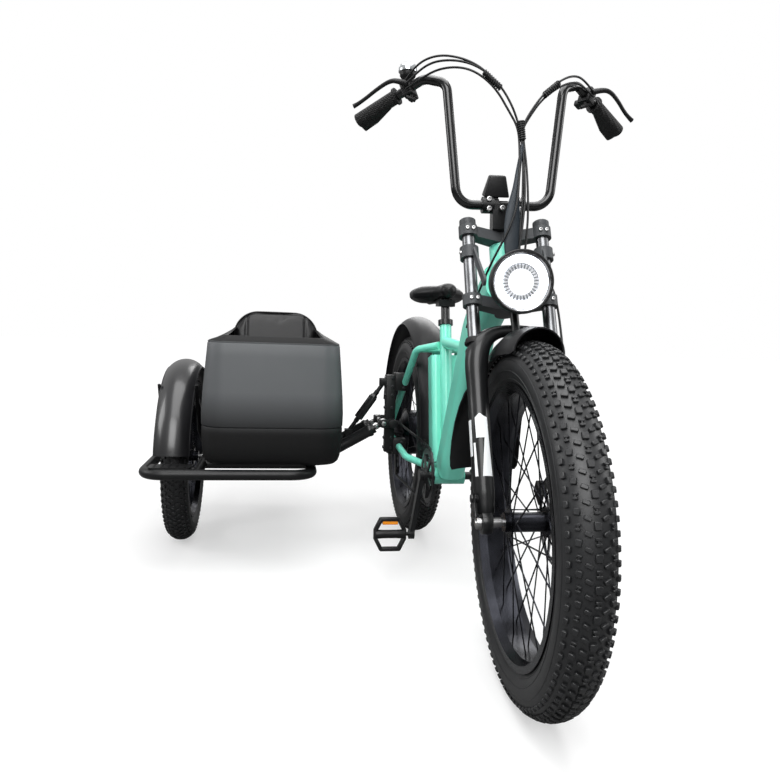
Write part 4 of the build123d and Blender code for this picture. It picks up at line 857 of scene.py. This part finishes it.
def press(pad, place, channels):
    """Press sewn channels into a pad: each is a test that gives a point's distance from the seam."""
    mesh = pad.data
    home = place.inverted()
    normals = [normal.vector.copy() for normal in mesh.vertex_normals]
    for vertex, normal in zip(mesh.vertices, normals):
        local = home @ vertex.co
        depth = sum(deep * max(0.0, 1 - (far(local) / wide) ** 2) ** 2 for far, wide, deep in channels)
        vertex.co -= normal * depth
    round_off = pad.modifiers.new("rounder", "SUBSURF")
    round_off.levels = 1
    round_off.render_levels = 1


def outline_gap(half, top, corner, inset):
    """Distance from an upright rounded outline drawn inside the pad's edge, in the pad's y and z."""
    def far(local):
        y, z = abs(local.y), local.z
        edge_y, edge_z, bend = half - inset, top - inset, corner - inset
        if y > edge_y - bend and z > edge_z - bend:
            return abs(hypot(y - edge_y + bend, z - edge_z + bend) - bend)
        return min(abs(y - edge_y), abs(z - edge_z) if z > edge_z - bend else FAR)
    return far


def twin_seams(local, half, shown):
    """Distance from two straight seams either side of the middle, where they are shown."""
    return abs(abs(local.y) - half) if shown else FAR


# %% Backrest, cushion and saddle
BACKREST = BIKE @ at(-600, TUB_Y, 452.9) @ rot(-9, "Y")
backrest = stuffed("backrest_pad", "backrest", 0.0055, 0.006)
face_seam = outline_gap(0.159, 0.365, 0.092, 0.016)
press(backrest, BACKREST, [
    (lambda local: face_seam(local) if local.x > 0.018 else FAR, 0.006, 0.0035),
    (lambda local: twin_seams(local, 0.106, local.x > 0.02 and local.z < 0.345), 0.006, 0.0040),
])
cushion = stuffed("seat_cushion_pad", "seat_cushion", 0.0055, 0.007)
CUSHION = BIKE @ at(-455, TUB_Y, 406.3)
press(cushion, CUSHION, [
    (lambda local: twin_seams(local, 0.082, local.z > 0.02 and abs(local.x) < 0.15), 0.007, 0.0045),
    (lambda local: abs(local.z - 0.022), 0.004, 0.0022),
])


def saddle_pattern():
    """Loft of a broad saddle: two thick lobes behind, a dip between them and a narrow nose."""
    work = bmesh.new()
    loops = []
    for number in range(31):
        x = -0.130 + 0.260 * number / 30
        tail, tip = min(1.0, (x + 0.131) / 0.045), min(1.0, (0.131 - x) / 0.030)
        close = max(0.10, sqrt(1 - (1 - tail) ** 2) * sqrt(1 - (1 - tip) ** 2))
        slim = min(1.0, max(0.0, (x + 0.045) / 0.130))
        slim = slim * slim * (3 - 2 * slim)
        half, height = (0.090 - 0.062 * slim) * close, (0.054 - 0.013 * slim) * (0.35 + 0.65 * close)
        spots = []
        for step in range(40):
            across, rise = cos(2 * pi * step / 40), sin(2 * pi * step / 40)
            y = half * copysign(abs(across) ** 0.80, across)
            z = height / 2 * copysign(abs(rise) ** 0.80, rise) - 0.027 + 0.006 * slim
            if rise > 0:
                z -= 0.013 * (1 - slim) * exp(-(y / 0.030) ** 2) * rise * close
            spots.append((x, y, z))
        loops.append(string(work, spots)[1])
    loft(work, loops)
    bmesh.ops.recalc_face_normals(work, faces=work.faces)
    mesh = end_mesh(work)
    mesh.transform(SADDLE)
    return mesh


SADDLE = BIKE @ at(-250, 0, 903)
saddle = stuffed("saddle_pad", "saddle", 0.0045, 0.003, shrink=1.0, pattern=saddle_pattern())
press(saddle, SADDLE, [(lambda local: abs(local.z + 0.031), 0.0035, 0.0014)])

# %% Piping round the backrest's face
def rounded_route(x, half, top, corner, foot):
    """Upright route of a piping cord, in millimetres: up one side, over the top and down the other."""
    start = top - corner
    route = [mm(x, -half, foot), mm(x, -half, (foot + start) / 2)]
    for side in (-1, 1):
        for step in range(9):
            bend = pi / 16 * (step if side < 0 else 8 - step)
            route.append(mm(x, side * (half - corner + corner * cos(bend)), start + corner * sin(bend)))
    return route + [mm(x, half, (foot + start) / 2), mm(x, half, foot)]


piping = bmesh.new()
stamp(piping, tube(rounded_route(23.5, 150, 353.5, 86, 20), 0.0026, 10))
publish(piping, "backrest_piping", "frame", leather, BACKREST)

# %% [markdown]
# ## Fenders
#
# A rear or sidecar fender is one curved section that is swept part of the way round its wheel. Solidify
# gives it its wall, and a thin bead along each edge stands for the rolled rim that stiffens it. The front
# fender changes its section on the way, so it is lofted from a table of sections.

# %% Sweep the fenders
FENDER_WALL = 2.8           # millimetres


def sweep_arc(work, profile, start, end, steps, closed=False):
    """Spin rows of radius and y from one angle to another; angles are degrees up from forward."""
    corners, edges = string(work, [mm(radius, along, 0) for radius, along in profile], closed)
    bmesh.ops.rotate(work, verts=corners, cent=(0, 0, 0), matrix=Matrix.Rotation(radians(-start), 3, "Y"))
    bmesh.ops.spin(work, geom=corners + edges, cent=(0, 0, 0), axis=(0, 1, 0), angle=radians(start - end),
                   steps=steps)


def fender(work, radius, half, drop, start, end, steps):
    """Curved shell with rolled edges; sizes in millimetres, angles in degrees up from forward."""
    bend = (half * half + drop * drop) / (2 * drop)
    widest = asin(min(1.0, half / bend))
    profile = []
    for number in range(21):
        angle = widest * (number / 10 - 1)
        profile.append((radius - bend + bend * cos(angle), bend * sin(angle)))
    sweep_arc(work, profile, start, end, steps)
    bmesh.ops.remove_doubles(work, verts=work.verts, dist=0.00002)
    bmesh.ops.recalc_face_normals(work, faces=work.faces)
    outward = sum(face.normal.dot(face.calc_center_median().normalized()) for face in work.faces)
    if outward < 0:
        bmesh.ops.reverse_faces(work, faces=work.faces)
    bmesh.ops.solidify(work, geom=work.faces[:], thickness=FENDER_WALL / 1000)
    for side in (-1, 1):
        bead = [(profile[0][0] + 2.0 * cos(turn), side * half + 2.0 * sin(turn))
                for turn in (0, 1.26, 2.51, 3.77, 5.03)]
        sweep_arc(work, bead, start, end, steps, closed=True)


def front_shell():
    """Front fender: a narrow hood between the legs that widens behind them into a long flat flap."""
    work = bmesh.new()
    loops = []
    for angle, radius, half, drop in FRONT_ROWS:
        bend = (half * half + drop * drop) / (2 * drop)
        widest = asin(min(1.0, half / bend))
        spots = []
        for skin, way in ((0, 1), (-FENDER_WALL, -1)):
            for number in range(25):
                turn = widest * (number / 12 - 1) * way
                reach = radius - bend + (bend + skin) * cos(turn)
                across = (bend + skin) * sin(turn)
                spots.append(mm(reach * cos(radians(angle)), across, reach * sin(radians(angle))))
        loops.append(string(work, spots)[1])
    loft(work, loops)
    return work


FRONT_ROWS = [              # degrees up from forward, radius, half width, drop
    (83, 399, 50, 46), (84.5, 399, 56, 54), (89, 398, 58, 56), (100, 398, 58, 56), (111, 398, 58, 56),
    (121, 398, 60, 54), (128, 401, 66, 50), (134, 406, 73, 45), (140, 411, 78, 40), (148, 417, 83, 37),
    (156, 422, 87, 34), (164, 424, 90, 33), (171, 424, 91, 32), (174.5, 424, 89, 30), (176, 424, 84, 26),
]
publish(front_shell(), "front_fender_shell", "steering", fender_plastic, front_spot,
        swap=("front_fender", "front_fender_bracket"), outward=True)
for node, finish, place, sizes in (
        ("rear_fender", fender_plastic, rear_spot, (441, 57, 30, 6, 168, 90)),
        ("sidecar_fender", fender_gloss, sidecar_spot, (342, 53, 28, 10, 176, 84))):
    work = bmesh.new()
    fender(work, *sizes)
    publish(work, node + "_shell", "frame", finish, place, swap=(node,))

# %% Stays of the rear and sidecar fenders
stays = bmesh.new()
for side in (-1, 1):
    lean = radians(152)
    foot = rear_centre + mm(-24, side * 101.3, 4)
    head = rear_centre + mm(413 * cos(lean), side * 57, 413 * sin(lean))
    bowed = [foot, foot.lerp(head, 0.3) + mm(0, side * 2, 0), foot.lerp(head, 0.7) + mm(0, side * 3, 0), head]
    stamp(stays, tube(bowed, 0.0042, 10))
    for angle in ((55, 125) if side > 0 else (125,)):
        across, rise = cos(radians(angle)), sin(radians(angle))
        rail, edge = (-905, -888.6) if side < 0 else (-748, -774.7)
        points = [(-530 + 140 * across, rail, 310), (-530 + 190 * across, edge, 396),
                  (-530 + 324 * across, edge, 289 + 324 * rise)]
        stamp(stays, tube([mm(*point) for point in points], 0.0045 if side > 0 else 0.003, 10, smooth=False))
publish(stays, "fender_stays", "frame", frame_black)

# %% [markdown]
# ## Fork
#
# The lower legs are one casting with the arch over the tyre. The arch is a bar whose radius changes along
# its line, so that it thickens where it leaves each leg. Seals and caps are turned, and the white stripes
# are thin patches that are bent round the legs.

# %% Cast arch, seals, caps and stripes
casting = bmesh.new()
ARCH_ROWS = [(0, 86.5, 240, 22.2), (0, 86.5, 290, 22.8), (1, 87, 328, 25), (3, 84, 360, 26), (5, 74, 385, 23),
             (7, 54, 403, 17), (8, 26, 413, 13)]
rows = [(fork(forward, -left, along), radius) for forward, left, along, radius in ARCH_ROWS]
rows += [(fork(forward, left, along), radius) for forward, left, along, radius in reversed(ARCH_ROWS)]
stamp(casting, swollen(rows))
lower_leg = turned([(0, 330), (15, 330), (15, 371), (21.4, 371), (22.1, 368.5), (22.3, 200),
                    (22.2, 62), (21.2, 48), (19.6, 36), (19, 20), (17, 16), (0, 16)], 48)
foot_boss = post(0.0235, 0.021, 48, 0.0015)
for side in (-1, 1):
    stamp(casting, lower_leg, on_leg(0, side * LEG, 0))
    stamp(casting, foot_boss, on_leg(2, side * LEG + 10.5, 0) @ rot(90, "X"))
publish(casting, "fork_casting", "steering", fork_black, swap=("fork_lowers",))
tongue = bmesh.new()
stamp(tongue, swollen([(fork(25, 0, 400), 11), (fork(25, 0, 412), 9), (fork(22, 0, 440), 9.5),
                       (fork(16, 0, 470), 11), (fork(6, 0, 486), 12)]))
publish(tongue, "fender_tongue", "steering", fork_black)
seal = turned([(14.6, 0), (22.2, 0), (22.6, 2), (22.4, 5), (20.5, 6), (20.5, 10),
               (18.5, 13.5), (14.9, 15), (14.6, 15)], 40, closed=True)
cap = turned([(0, 5.2), (6.2, 5.2), (7, 4.4), (7.2, 1.4), (16.5, 1.2), (18.8, -0.8),
              (19, -15), (18.6, -15.6), (0, -15.6)], 40)
seals = bmesh.new()
caps = bmesh.new()
for left in (-LEG, LEG):
    stamp(seals, seal, on_leg(0, left, 384))
    stamp(caps, cap, on_leg(0, left, 686))
publish(seals, "leg_seals", "steering", grip_rubber)
publish(caps, "leg_caps", "steering", crown_grey)


def wrapped(work, left, rows):
    """Thin patch bent round a leg: rows of height and the angles where it starts and ends, from forward."""
    chains = []
    mirror_sign = -1 if left > 0 else 1
    for along, angle_from, angle_to in rows:
        spots = []
        for step in range(9):
            angle = radians(angle_from + (angle_to - angle_from) * step / 8) * mirror_sign
            spots.append(on_leg(0, left, 0) @ mm(STRIPE_OUT * cos(angle), STRIPE_OUT * sin(angle), along))
        chains.append(string(work, spots, closed=False)[1])
    bridge(work, chains)


STRIPE_OUT = 23.1           # millimetres from the middle of the leg
STRIPES = [                 # for each patch: height, and the angles where it starts and ends
    [(224, -14, -9), (215, -38, 28), (172, -36, 33)], [(172, 8, 33), (92, -12, 44)],
    [(162, -54, -42), (92, -54, -36)], [(212, -96, -62), (135, -90, -64)],
]
stripes = bmesh.new()
for left in (-LEG, LEG):
    for rows in STRIPES:
        wrapped(stripes, left, rows)
bmesh.ops.recalc_face_normals(stripes, faces=stripes.faces)
bmesh.ops.solidify(stripes, geom=stripes.faces[:], thickness=0.0003)
publish(stripes, "leg_stripes", "steering", stripe_white, outward=True)

# %% Foot brackets, pinch bolts and bar clamp bolts
brackets = bmesh.new()
fin = block(0.030, 0.006, 0.052, 0.002, 2, taper=0.35)
boss = post(0.0085, 0.016, 20, 0.001)
for side in (-1, 1):
    stamp(brackets, fin, on_leg(16, side * 112, 34))
    stamp(brackets, boss, on_leg(8, side * 101, 48) @ rot(-90 * side, "X"))
publish(brackets, "foot_brackets", "steering", fork_black)
bolts = bmesh.new()
for side in (-1, 1):
    for along in (486, 657):
        for out in (78, 92):
            stamp(bolts, small_screw, on_leg(20.5, side * out, along) @ rot(90, "Y"))
    for rise in (-11, 11):
        stamp(bolts, big_screw, at(376, side * 37, 1050 + rise) @ rot(90, "Y"))
    stamp(bolts, small_screw, on_leg(6, side * 106, 602) @ rot(-90 * side, "X"))
stamp(bolts, big_screw, at(384, -8, 1040) @ rot(90, "Y"))
publish(bolts, "fork_bolts", "steering", steel)

# %% [markdown]
# ## Controls
#
# Each side of the bar has switch blocks with a thumb lever and a lever blade, and the right side has a
# bell. Spiral wraps, which are thin tubes that wind round a bundle, hold the cables from both sides
# together.

# %% Bell, display and switch blocks
bell_top = max(vertex.co.z for vertex in nodes["bell"].data.vertices)
crest = [vertex.co for vertex in nodes["bell"].data.vertices if vertex.co.z > bell_top - 0.012]
crest_middle = [sum(spot[axis] for spot in crest) / len(crest) for axis in (0, 1)]
BELL = Matrix.Translation((*crest_middle, bell_top))
AS_PACKED = Matrix.Identity(4)      # the bell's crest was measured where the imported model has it
bell_work = bmesh.new()
stamp(bell_work, turned([(0, -52), (9, -52), (10.5, -40), (16.5, -34), (19, -30), (19, -22.5),
                         (0, -22.5)], 40), BELL)
publish(bell_work, "bell_base", "steering", case_plastic, AS_PACKED, swap=("bell",))
dome = bmesh.new()
stamp(dome, turned([(0, -22.2), (20.5, -22.2), (22.2, -21.5), (22.8, -18), (22.2, -12), (19.6, -6.2),
                    (15, -2.4), (8.5, -0.6), (0, 0)], 40), BELL)
publish(dome, "bell_dome", "steering", chrome, AS_PACKED, outward=True)
display_work = bmesh.new()
DISPLAY = at(361, -17, 1094) @ rot(18, "Y")
stamp(display_work, block(0.034, 0.060, 0.048, 0.0035, 3, taper=0.62), DISPLAY)
stamp(display_work, block(0.008, 0.011, 0.030, 0.001), at(361, -17.8, 1070))
stamp(display_work, turned([(11.2, -6), (15, -6), (15, 6), (11.2, 6)], 32, closed=True),
      at(360, -17.8, 1050) @ rot(90, "X"))
publish(display_work, "display_case", "steering", case_plastic, swap=("display",))
screen = bmesh.new()
stamp(screen, block(0.0012, 0.028, 0.026, 0.0005), DISPLAY @ at(-17.4, 0, 2) @ rot(-7, "Y"))
publish(screen, "display_screen", "steering", screen_black)

switches = bmesh.new()
for side in (-1, 1):
    inner, outer = grip_ends(side)
    way = (outer - inner).normalized()
    clamp_place = between(inner + way * 0.004, outer)
    stamp(switches, block(0.034, 0.038, 0.026, 0.004, 2), clamp_place @ at(0, 0, 10))
    stamp(switches, block(0.020, 0.014, 0.022, 0.003, 2), clamp_place @ at(18 * side, -14, 12))
    thumb = inner + way * 0.012 + mm(6, -side * 4, -24)
    stamp(switches, block(0.012, 0.026, 0.008, 0.0025, 2), Matrix.Translation(thumb) @ rot(side * 20, "X"))
    stamp(switches, post(0.005, 0.020, 14, 0.001), Matrix.Translation(thumb - mm(0, 0, 4)))
publish(switches, "switch_blocks", "steering", case_plastic)

# %% Brake levers
LEVERS = {                  # millimetres out along the grip, up and ahead of it, and the bar's radius
    -1: [(6, 2, 20, 7), (16, 10, 34, 6.2), (34, 19, 42, 5), (72, 20, 40, 4.6), (110, 17, 38, 4.4),
         (136, 15, 40, 4.8), (144, 15, 42, 5.6)],
    1: [(6, 2, 20, 7), (16, 10, 36, 6.2), (34, 15, 48, 5), (70, 12, 50, 4.6), (102, 3, 51, 4.4),
        (126, -2, 55, 4.8), (134, -3, 57, 5.6)],
}
levers = bmesh.new()
for side, rows in LEVERS.items():
    inner, outer = grip_ends(side)
    way = (outer - inner).normalized()
    upward = (Vector((0, 0, 1)) - way * way.z).normalized()
    ahead = way.cross(upward)
    ahead = ahead if ahead.x > 0 else -ahead
    spots = [(inner + way * (out / 1000) + upward * (up / 1000) + ahead * (fore / 1000), thick)
             for out, up, fore, thick in rows]
    stamp(levers, swollen(spots))
publish(levers, "lever_blades", "steering", case_plastic, swap=("brake_levers",))

# %% Spiral wraps and loose cables
def spiral(start, end, radius, turns, wire):
    """Tube that winds round the line between two points."""
    place = between(mm(*start), mm(*end))
    length = (mm(*end) - mm(*start)).length
    count = turns * 10
    points = []
    for number in range(count + 1):
        angle = 2 * pi * turns * number / count
        points.append(place @ Vector((radius * cos(angle), radius * sin(angle), length * number / count)))
    return tube(points, wire, 8)


WRAPS = [                   # start, end, radius of the winding, turns, wire, radius of the filling
    ((421, -66, 1326), (422, -27, 1293), 0.0066, 9, 0.0015, 0.0060),
    ((401, 111, 1316), (415, 74, 1284), 0.0066, 8, 0.0015, 0.0060),
    ((422, 19, 1224), (423, 24, 1182), 0.0078, 9, 0.0017, 0.0070),
]
wraps = bmesh.new()
for start, end, radius, turns, wire, filling in WRAPS:
    stamp(wraps, spiral(start, end, radius, turns, wire))
    stamp(wraps, post(filling, (mm(*end) - mm(*start)).length, 20), between(mm(*start), mm(*end)))
publish(wraps, "spiral_wraps", "steering", cable_rubber)
CABLE_ROUTES = [            # x, y, z for the straight-ahead fork
    [(315, -228, 1329), (345, -205, 1347), (378, -176, 1358), (402, -140, 1356), (416, -100, 1347),
     (422, -64, 1329), (423, -28, 1298), (424, -2, 1258), (422, 15, 1218), (424, 23, 1180),
     (436, 27, 1120), (452, 26, 1050), (463, 18, 980), (468, 8, 920), (464, 0, 880)],
    [(317, -226, 1320), (348, -196, 1332), (380, -166, 1341), (400, -132, 1342), (412, -98, 1335),
     (418, -66, 1317), (419, -34, 1288), (419, -8, 1247), (420, 14, 1212), (425, 18, 1170),
     (444, 14, 1100), (461, 5, 1030), (466, -10, 985), (464, -30, 945), (456, -49, 905), (443, -62, 868),
     (424, -71, 835), (404, -79, 800), (384, -85, 765)],
    [(308, -229, 1338), (326, -214, 1358), (358, -190, 1371), (390, -158, 1370), (409, -122, 1360),
     (419, -88, 1345), (422, -60, 1326), (425, -28, 1294)],
    [(315, 228, 1329), (348, 190, 1348), (384, 150, 1342), (404, 112, 1321), (418, 72, 1287), (421, 42, 1246),
     (422, 24, 1212), (423, 28, 1176), (434, 33, 1120), (448, 34, 1050), (456, 32, 980), (456, 26, 920)],
    [(316, 226, 1320), (345, 186, 1337), (378, 148, 1329), (398, 108, 1307), (412, 68, 1274), (417, 40, 1234),
     (420, 24, 1206), (424, 26, 1172), (437, 24, 1110), (452, 20, 1040), (462, 13, 970), (466, 12, 910)],
]
HOSE = [(463, 20, 905), (449, 48, 892), (436, 74, 872)]
HOSE_ON_LEG = [(-22, 108, 540), (-12, 113, 480), (-7, 113, 400), (-6, 112, 290), (-8, 112, 225),
               (-14, 111, 175), (-30, 106, 135), (-44, 96, 106), (-49, 84, 86), (-49, 78.4, 81.9)]
cables = bmesh.new()
for route in CABLE_ROUTES:
    stamp(cables, tube([mm(*point) for point in route], 0.0025, 12))
stamp(cables, tube([mm(*point) for point in HOSE] + [fork(*point) for point in HOSE_ON_LEG], 0.0026, 12))
publish(cables, "cables", "steering", cable_rubber, swap=("control_cables",))

# %% Leaf-shaped sleeve
SLEEVE_ROWS = [             # z, x, y, half width, half thickness
    (1176, 425, 24, 2, 2), (1150, 429, 20, 4, 3.5), (1110, 436, 13, 6, 5), (1075, 441, 8, 8, 5.5),
    (1046, 445, 3, 11.5, 5.5), (1015, 449, 0, 16.5, 5.5), (990, 452, -1, 18.5, 5), (938, 457, -2, 17.5, 5),
    (896, 460, 1, 15, 4.5), (868, 462, 4, 15, 4),
]
angles = [2 * pi * step / 28 for step in range(28)]
sleeve_work = bmesh.new()
loops = []
for z, x, y, wide, thick in SLEEVE_ROWS:
    spots = [mm(x + thick * sin(turn), y + wide * cos(turn), z) for turn in angles]
    loops.append(string(sleeve_work, spots)[1])
loft(sleeve_work, loops)
bmesh.ops.subdivide_edges(sleeve_work, edges=sleeve_work.edges[:], cuts=1, use_grid_fill=True, smooth=0.6)
publish(sleeve_work, "leaf_sleeve", "steering", sleeve_cloth, swap=("cable_sleeve",),
        outward=True)

# %% [markdown]
# ## Link to the sidecar
#
# The rod ends are the only bright metal on the link. Each arm carries a thick sleeve with a collar at
# either end, and the channel on the frame side shows rows of dark bolt heads.

# %% Arm sleeves, collars and link bolts
sleeves = bmesh.new()
link_bolts = bmesh.new()
for x in (-378, -500):
    eye, foot = mm(x, -155, 435), mm(x, -392, 302)
    arm = between(eye, foot)
    length = (foot - eye).length * 1000
    stamp(sleeves, turned([(17.2, 46), (20, 46), (21.2, 48), (21.2, 58), (19.2, 61), (19.2, length - 48),
                           (20.8, length - 45), (20.8, length - 34), (17.2, length - 32)], 40),
          arm)
    ball = Matrix.Translation(eye) @ rot(90, "Y")
    stamp(link_bolts, turned([(14.5, -10.2), (16.2, -8.5), (16.6, 0), (16.2, 8.5), (14.5, 10.2)], 36), ball)
    stamp(link_bolts, post(0.0092, 0.011, 6, 0.0006), arm @ at(0, 0, 21))
    for side in (-1, 1):
        head = Matrix.Translation(eye + mm(side * 15.6, 0, 0)) @ rot(90 * side, "Y")
        stamp(link_bolts, post(0.0088, 0.0062, 6, 0.0006), head)
channel = bmesh.new()
LINK_BLOCKS = [             # x, y, z, then length, width and height
    (-418, -127, 465, 30, 34, 270), (-418, -92, 577, 44, 44, 62), (-418, -92, 351, 44, 44, 54),
    (-406, -141, 575, 5, 50, 26), (-430, -141, 575, 5, 50, 26), (-365, -149, 435, 5, 44, 26),
    (-391, -149, 435, 5, 44, 26), (-487, -149, 435, 5, 44, 26), (-513, -149, 435, 5, 44, 26),
]
for x, y, z, length, width, height in LINK_BLOCKS:
    stamp(channel, block(length / 1000, width / 1000, height / 1000, 0.0018, 2), at(x, y, z))
stamp(channel, post(0.0150, 0.166, 36, 0.0015), at(-522, -122, 435) @ rot(90, "Y"))
publish(channel, "link_channel", "frame", frame_black, swap=("link_bracket",))
dark_bolts = bmesh.new()
side_bolt, front_bolt = screw(0.0056, 0.005), screw(0.0050, 0.0045)
for rise in (346, 380, 486, 530, 560, 590):
    stamp(dark_bolts, side_bolt, at(-418, -144, rise) @ rot(90, "X"))
    stamp(dark_bolts, front_bolt, at(-403, -122, rise) @ rot(90, "Y"))
for rise in (336, 366, 556, 598):
    stamp(dark_bolts, front_bolt, at(-396, -84, rise) @ rot(90, "Y"))
publish(dark_bolts, "channel_bolts", "frame", dark_steel)
TURNBUCKLE = [              # its sleeve and the lock nuts above and below, as six-sided profiles
    [(6.8, 56), (10.5, 56), (13.8, 60), (13.8, 150), (10.5, 154), (6.8, 154)],
    [(7, 40), (9.2, 40), (9.2, 56), (7, 56)],
    [(7, 155), (9.2, 155), (9.2, 170), (7, 170)],
]
for profile in TURNBUCKLE:
    stamp(sleeves, turned(profile, 6), between(mm(-418, -150, 575), mm(-418, -272, 397.3)))
publish(sleeves, "arm_sleeves", "frame", fork_black)
publish(link_bolts, "link_hardware", "frame", steel)

# %% [markdown]
# ## Pedals
#
# The pedals are open cages. Eight bevelled bars make the cage, a round barrel carries the axle, small pins
# stand on the bars and an amber reflector sits in the end that points up.

# %% Pedal cages
CRANK = 174                 # millimetres from the spindle to a pedal


def pedal_cage(node, side):
    """Cage, barrel and reflector of one pedal, in the parked pose."""
    angle = radians(-83.4 if side < 0 else 96.6)
    centre = mm(-60 + CRANK * cos(angle), side * 175, 320 + CRANK * sin(angle))
    place = BIKE @ Matrix.Translation(centre) @ rot(84, "Y")
    cage = bmesh.new()
    outline = [(44, 27), (13, 43), (-13, 43), (-44, 27), (-44, -27), (-13, -43), (13, -43), (44, -27)]
    pin = post(0.0018, 0.0235, 8)
    for (x, y), (next_x, next_y) in zip(outline, outline[1:] + outline[:1]):
        start, end = mm(x, y, 0), mm(next_x, next_y, 0)
        bar = block(0.0115, 0.021, (end - start).length + 0.007, 0.0030, 2)
        turn = atan2(next_y - y, next_x - x)
        facing = Matrix.Rotation(turn, 4, "Z") @ rot(90, "Y") @ rot(90, "Z")
        stamp(cage, bar, Matrix.Translation((start + end) / 2) @ facing)
        for spot in (start, (start + end) / 2):
            stamp(cage, pin, Matrix.Translation(spot - mm(0, 0, 11.7)))
    barrel = turned([(6.8, -44), (13, -44), (14, -42), (12.5, -20), (12.5, 20), (14, 42),
                     (13, 44), (6.8, 44)], 28, closed=True)
    stamp(cage, barrel, rot(90, "X"))
    publish(cage, node + "_cage", node, case_plastic, place, swap=(node,))
    lights = bmesh.new()
    stamp(lights, block(0.011, 0.046, 0.0175, 0.001), at(-34.5, 0, 0))
    publish(lights, node + "_cage_reflectors", node, amber, place)


pedal_cage("pedal_right", -1)
pedal_cage("pedal_left", 1)

# %% [markdown]
# ## Floor and light
#
# A product photograph has no horizon. The floor and the world look white to the camera and through glass,
# while metal sees a world that is bright overhead only. Five large lamps stand for the studio's soft boxes.

# %% Floor
def pale_stage():
    """Floor that looks white and still shows the object's soft shadow."""
    floor_work = bmesh.new()
    bmesh.ops.create_grid(floor_work, x_segments=1, y_segments=1, size=30)
    floor_mesh = end_mesh(floor_work, "studio_floor")
    floor = bpy.data.objects.new("studio_floor", floor_mesh)
    bpy.context.scene.collection.objects.link(floor)
    finish = Finish("pale_floor", (0.3, 0.3, 0.3, 1.0), 0.9)
    seen = finish.node("ShaderNodeLightPath", output="Is Camera Ray")
    away = finish.node("ShaderNodeVectorMath", {0: finish.place}, output="Value", operation="LENGTH")
    bright = finish.node("ShaderNodeValToRGB", {"Fac": (away - 1.6) / 3.0},
                         ramp=[(0.0, (0.50, 0.50, 0.50, 1)), (1.0, (1, 1, 1, 1))])
    finish.set(Base_Color=finish.mix(seen, (0.22, 0.22, 0.22, 1.0), (0.5, 0.5, 0.5, 1.0)))
    finish.set(Emission_Color=finish.mix(seen, (0, 0, 0, 1), bright), Emission_Strength=1.0)
    floor_mesh.materials.append(finish.material)


pale_stage()

# %% Lamps and world
world = bpy.data.worlds.new("studio")
world.use_nodes = True
bpy.context.scene.world = world
sky = world.node_tree
background = sky.nodes["Background"]
path = sky.nodes.new("ShaderNodeLightPath")
seen = Signal(sky, path.outputs["Is Camera Ray"])
glossy = Signal(sky, path.outputs["Is Glossy Ray"])
through = Signal(sky, path.outputs["Is Transmission Ray"])
direct = seen + through
lookout = sky.nodes.new("ShaderNodeTexCoord")
split = sky.nodes.new("ShaderNodeSeparateXYZ")
sky.links.new(lookout.outputs["Generated"], split.inputs["Vector"])
overhead = Signal(sky, split.outputs["Z"]).over(0.25, 0.7)
brightness = seen.maths("MINIMUM", direct + glossy * (overhead * 0.5 + 0.16) + 0.12, 1.0)
feed(sky, brightness, background.inputs["Strength"])
background.inputs["Color"].default_value = (1.0, 1.0, 1.0, 1.0)


def soft_box(name, spot, aim, size, watts):
    """Large square lamp that looks at a point."""
    data = bpy.data.lights.new(name, "AREA")
    data.size = size
    data.energy = watts
    lamp = bpy.data.objects.new(name, data)
    bpy.context.scene.collection.objects.link(lamp)
    place = BIKE @ Vector(spot)
    facing = (BIKE @ Vector(aim) - place).to_track_quat("-Z", "Y").to_matrix().to_4x4()
    lamp.matrix_world = Matrix.Translation(place) @ facing


soft_box("front", (3.0, -0.9, 2.7), (0, -0.3, 0.5), 2.4, 120)
soft_box("top", (0.3, -0.3, 3.4), (0, -0.3, 0.3), 2.8, 95)
soft_box("left_side", (0.6, 3.0, 1.9), (0, -0.2, 0.6), 1.4, 26)
soft_box("right_side", (-0.2, -3.4, 1.9), (0, -0.5, 0.5), 1.4, 30)
soft_box("back", (-3.2, 0.8, 2.4), (0, -0.3, 0.6), 1.8, 30)
print("stage ready")
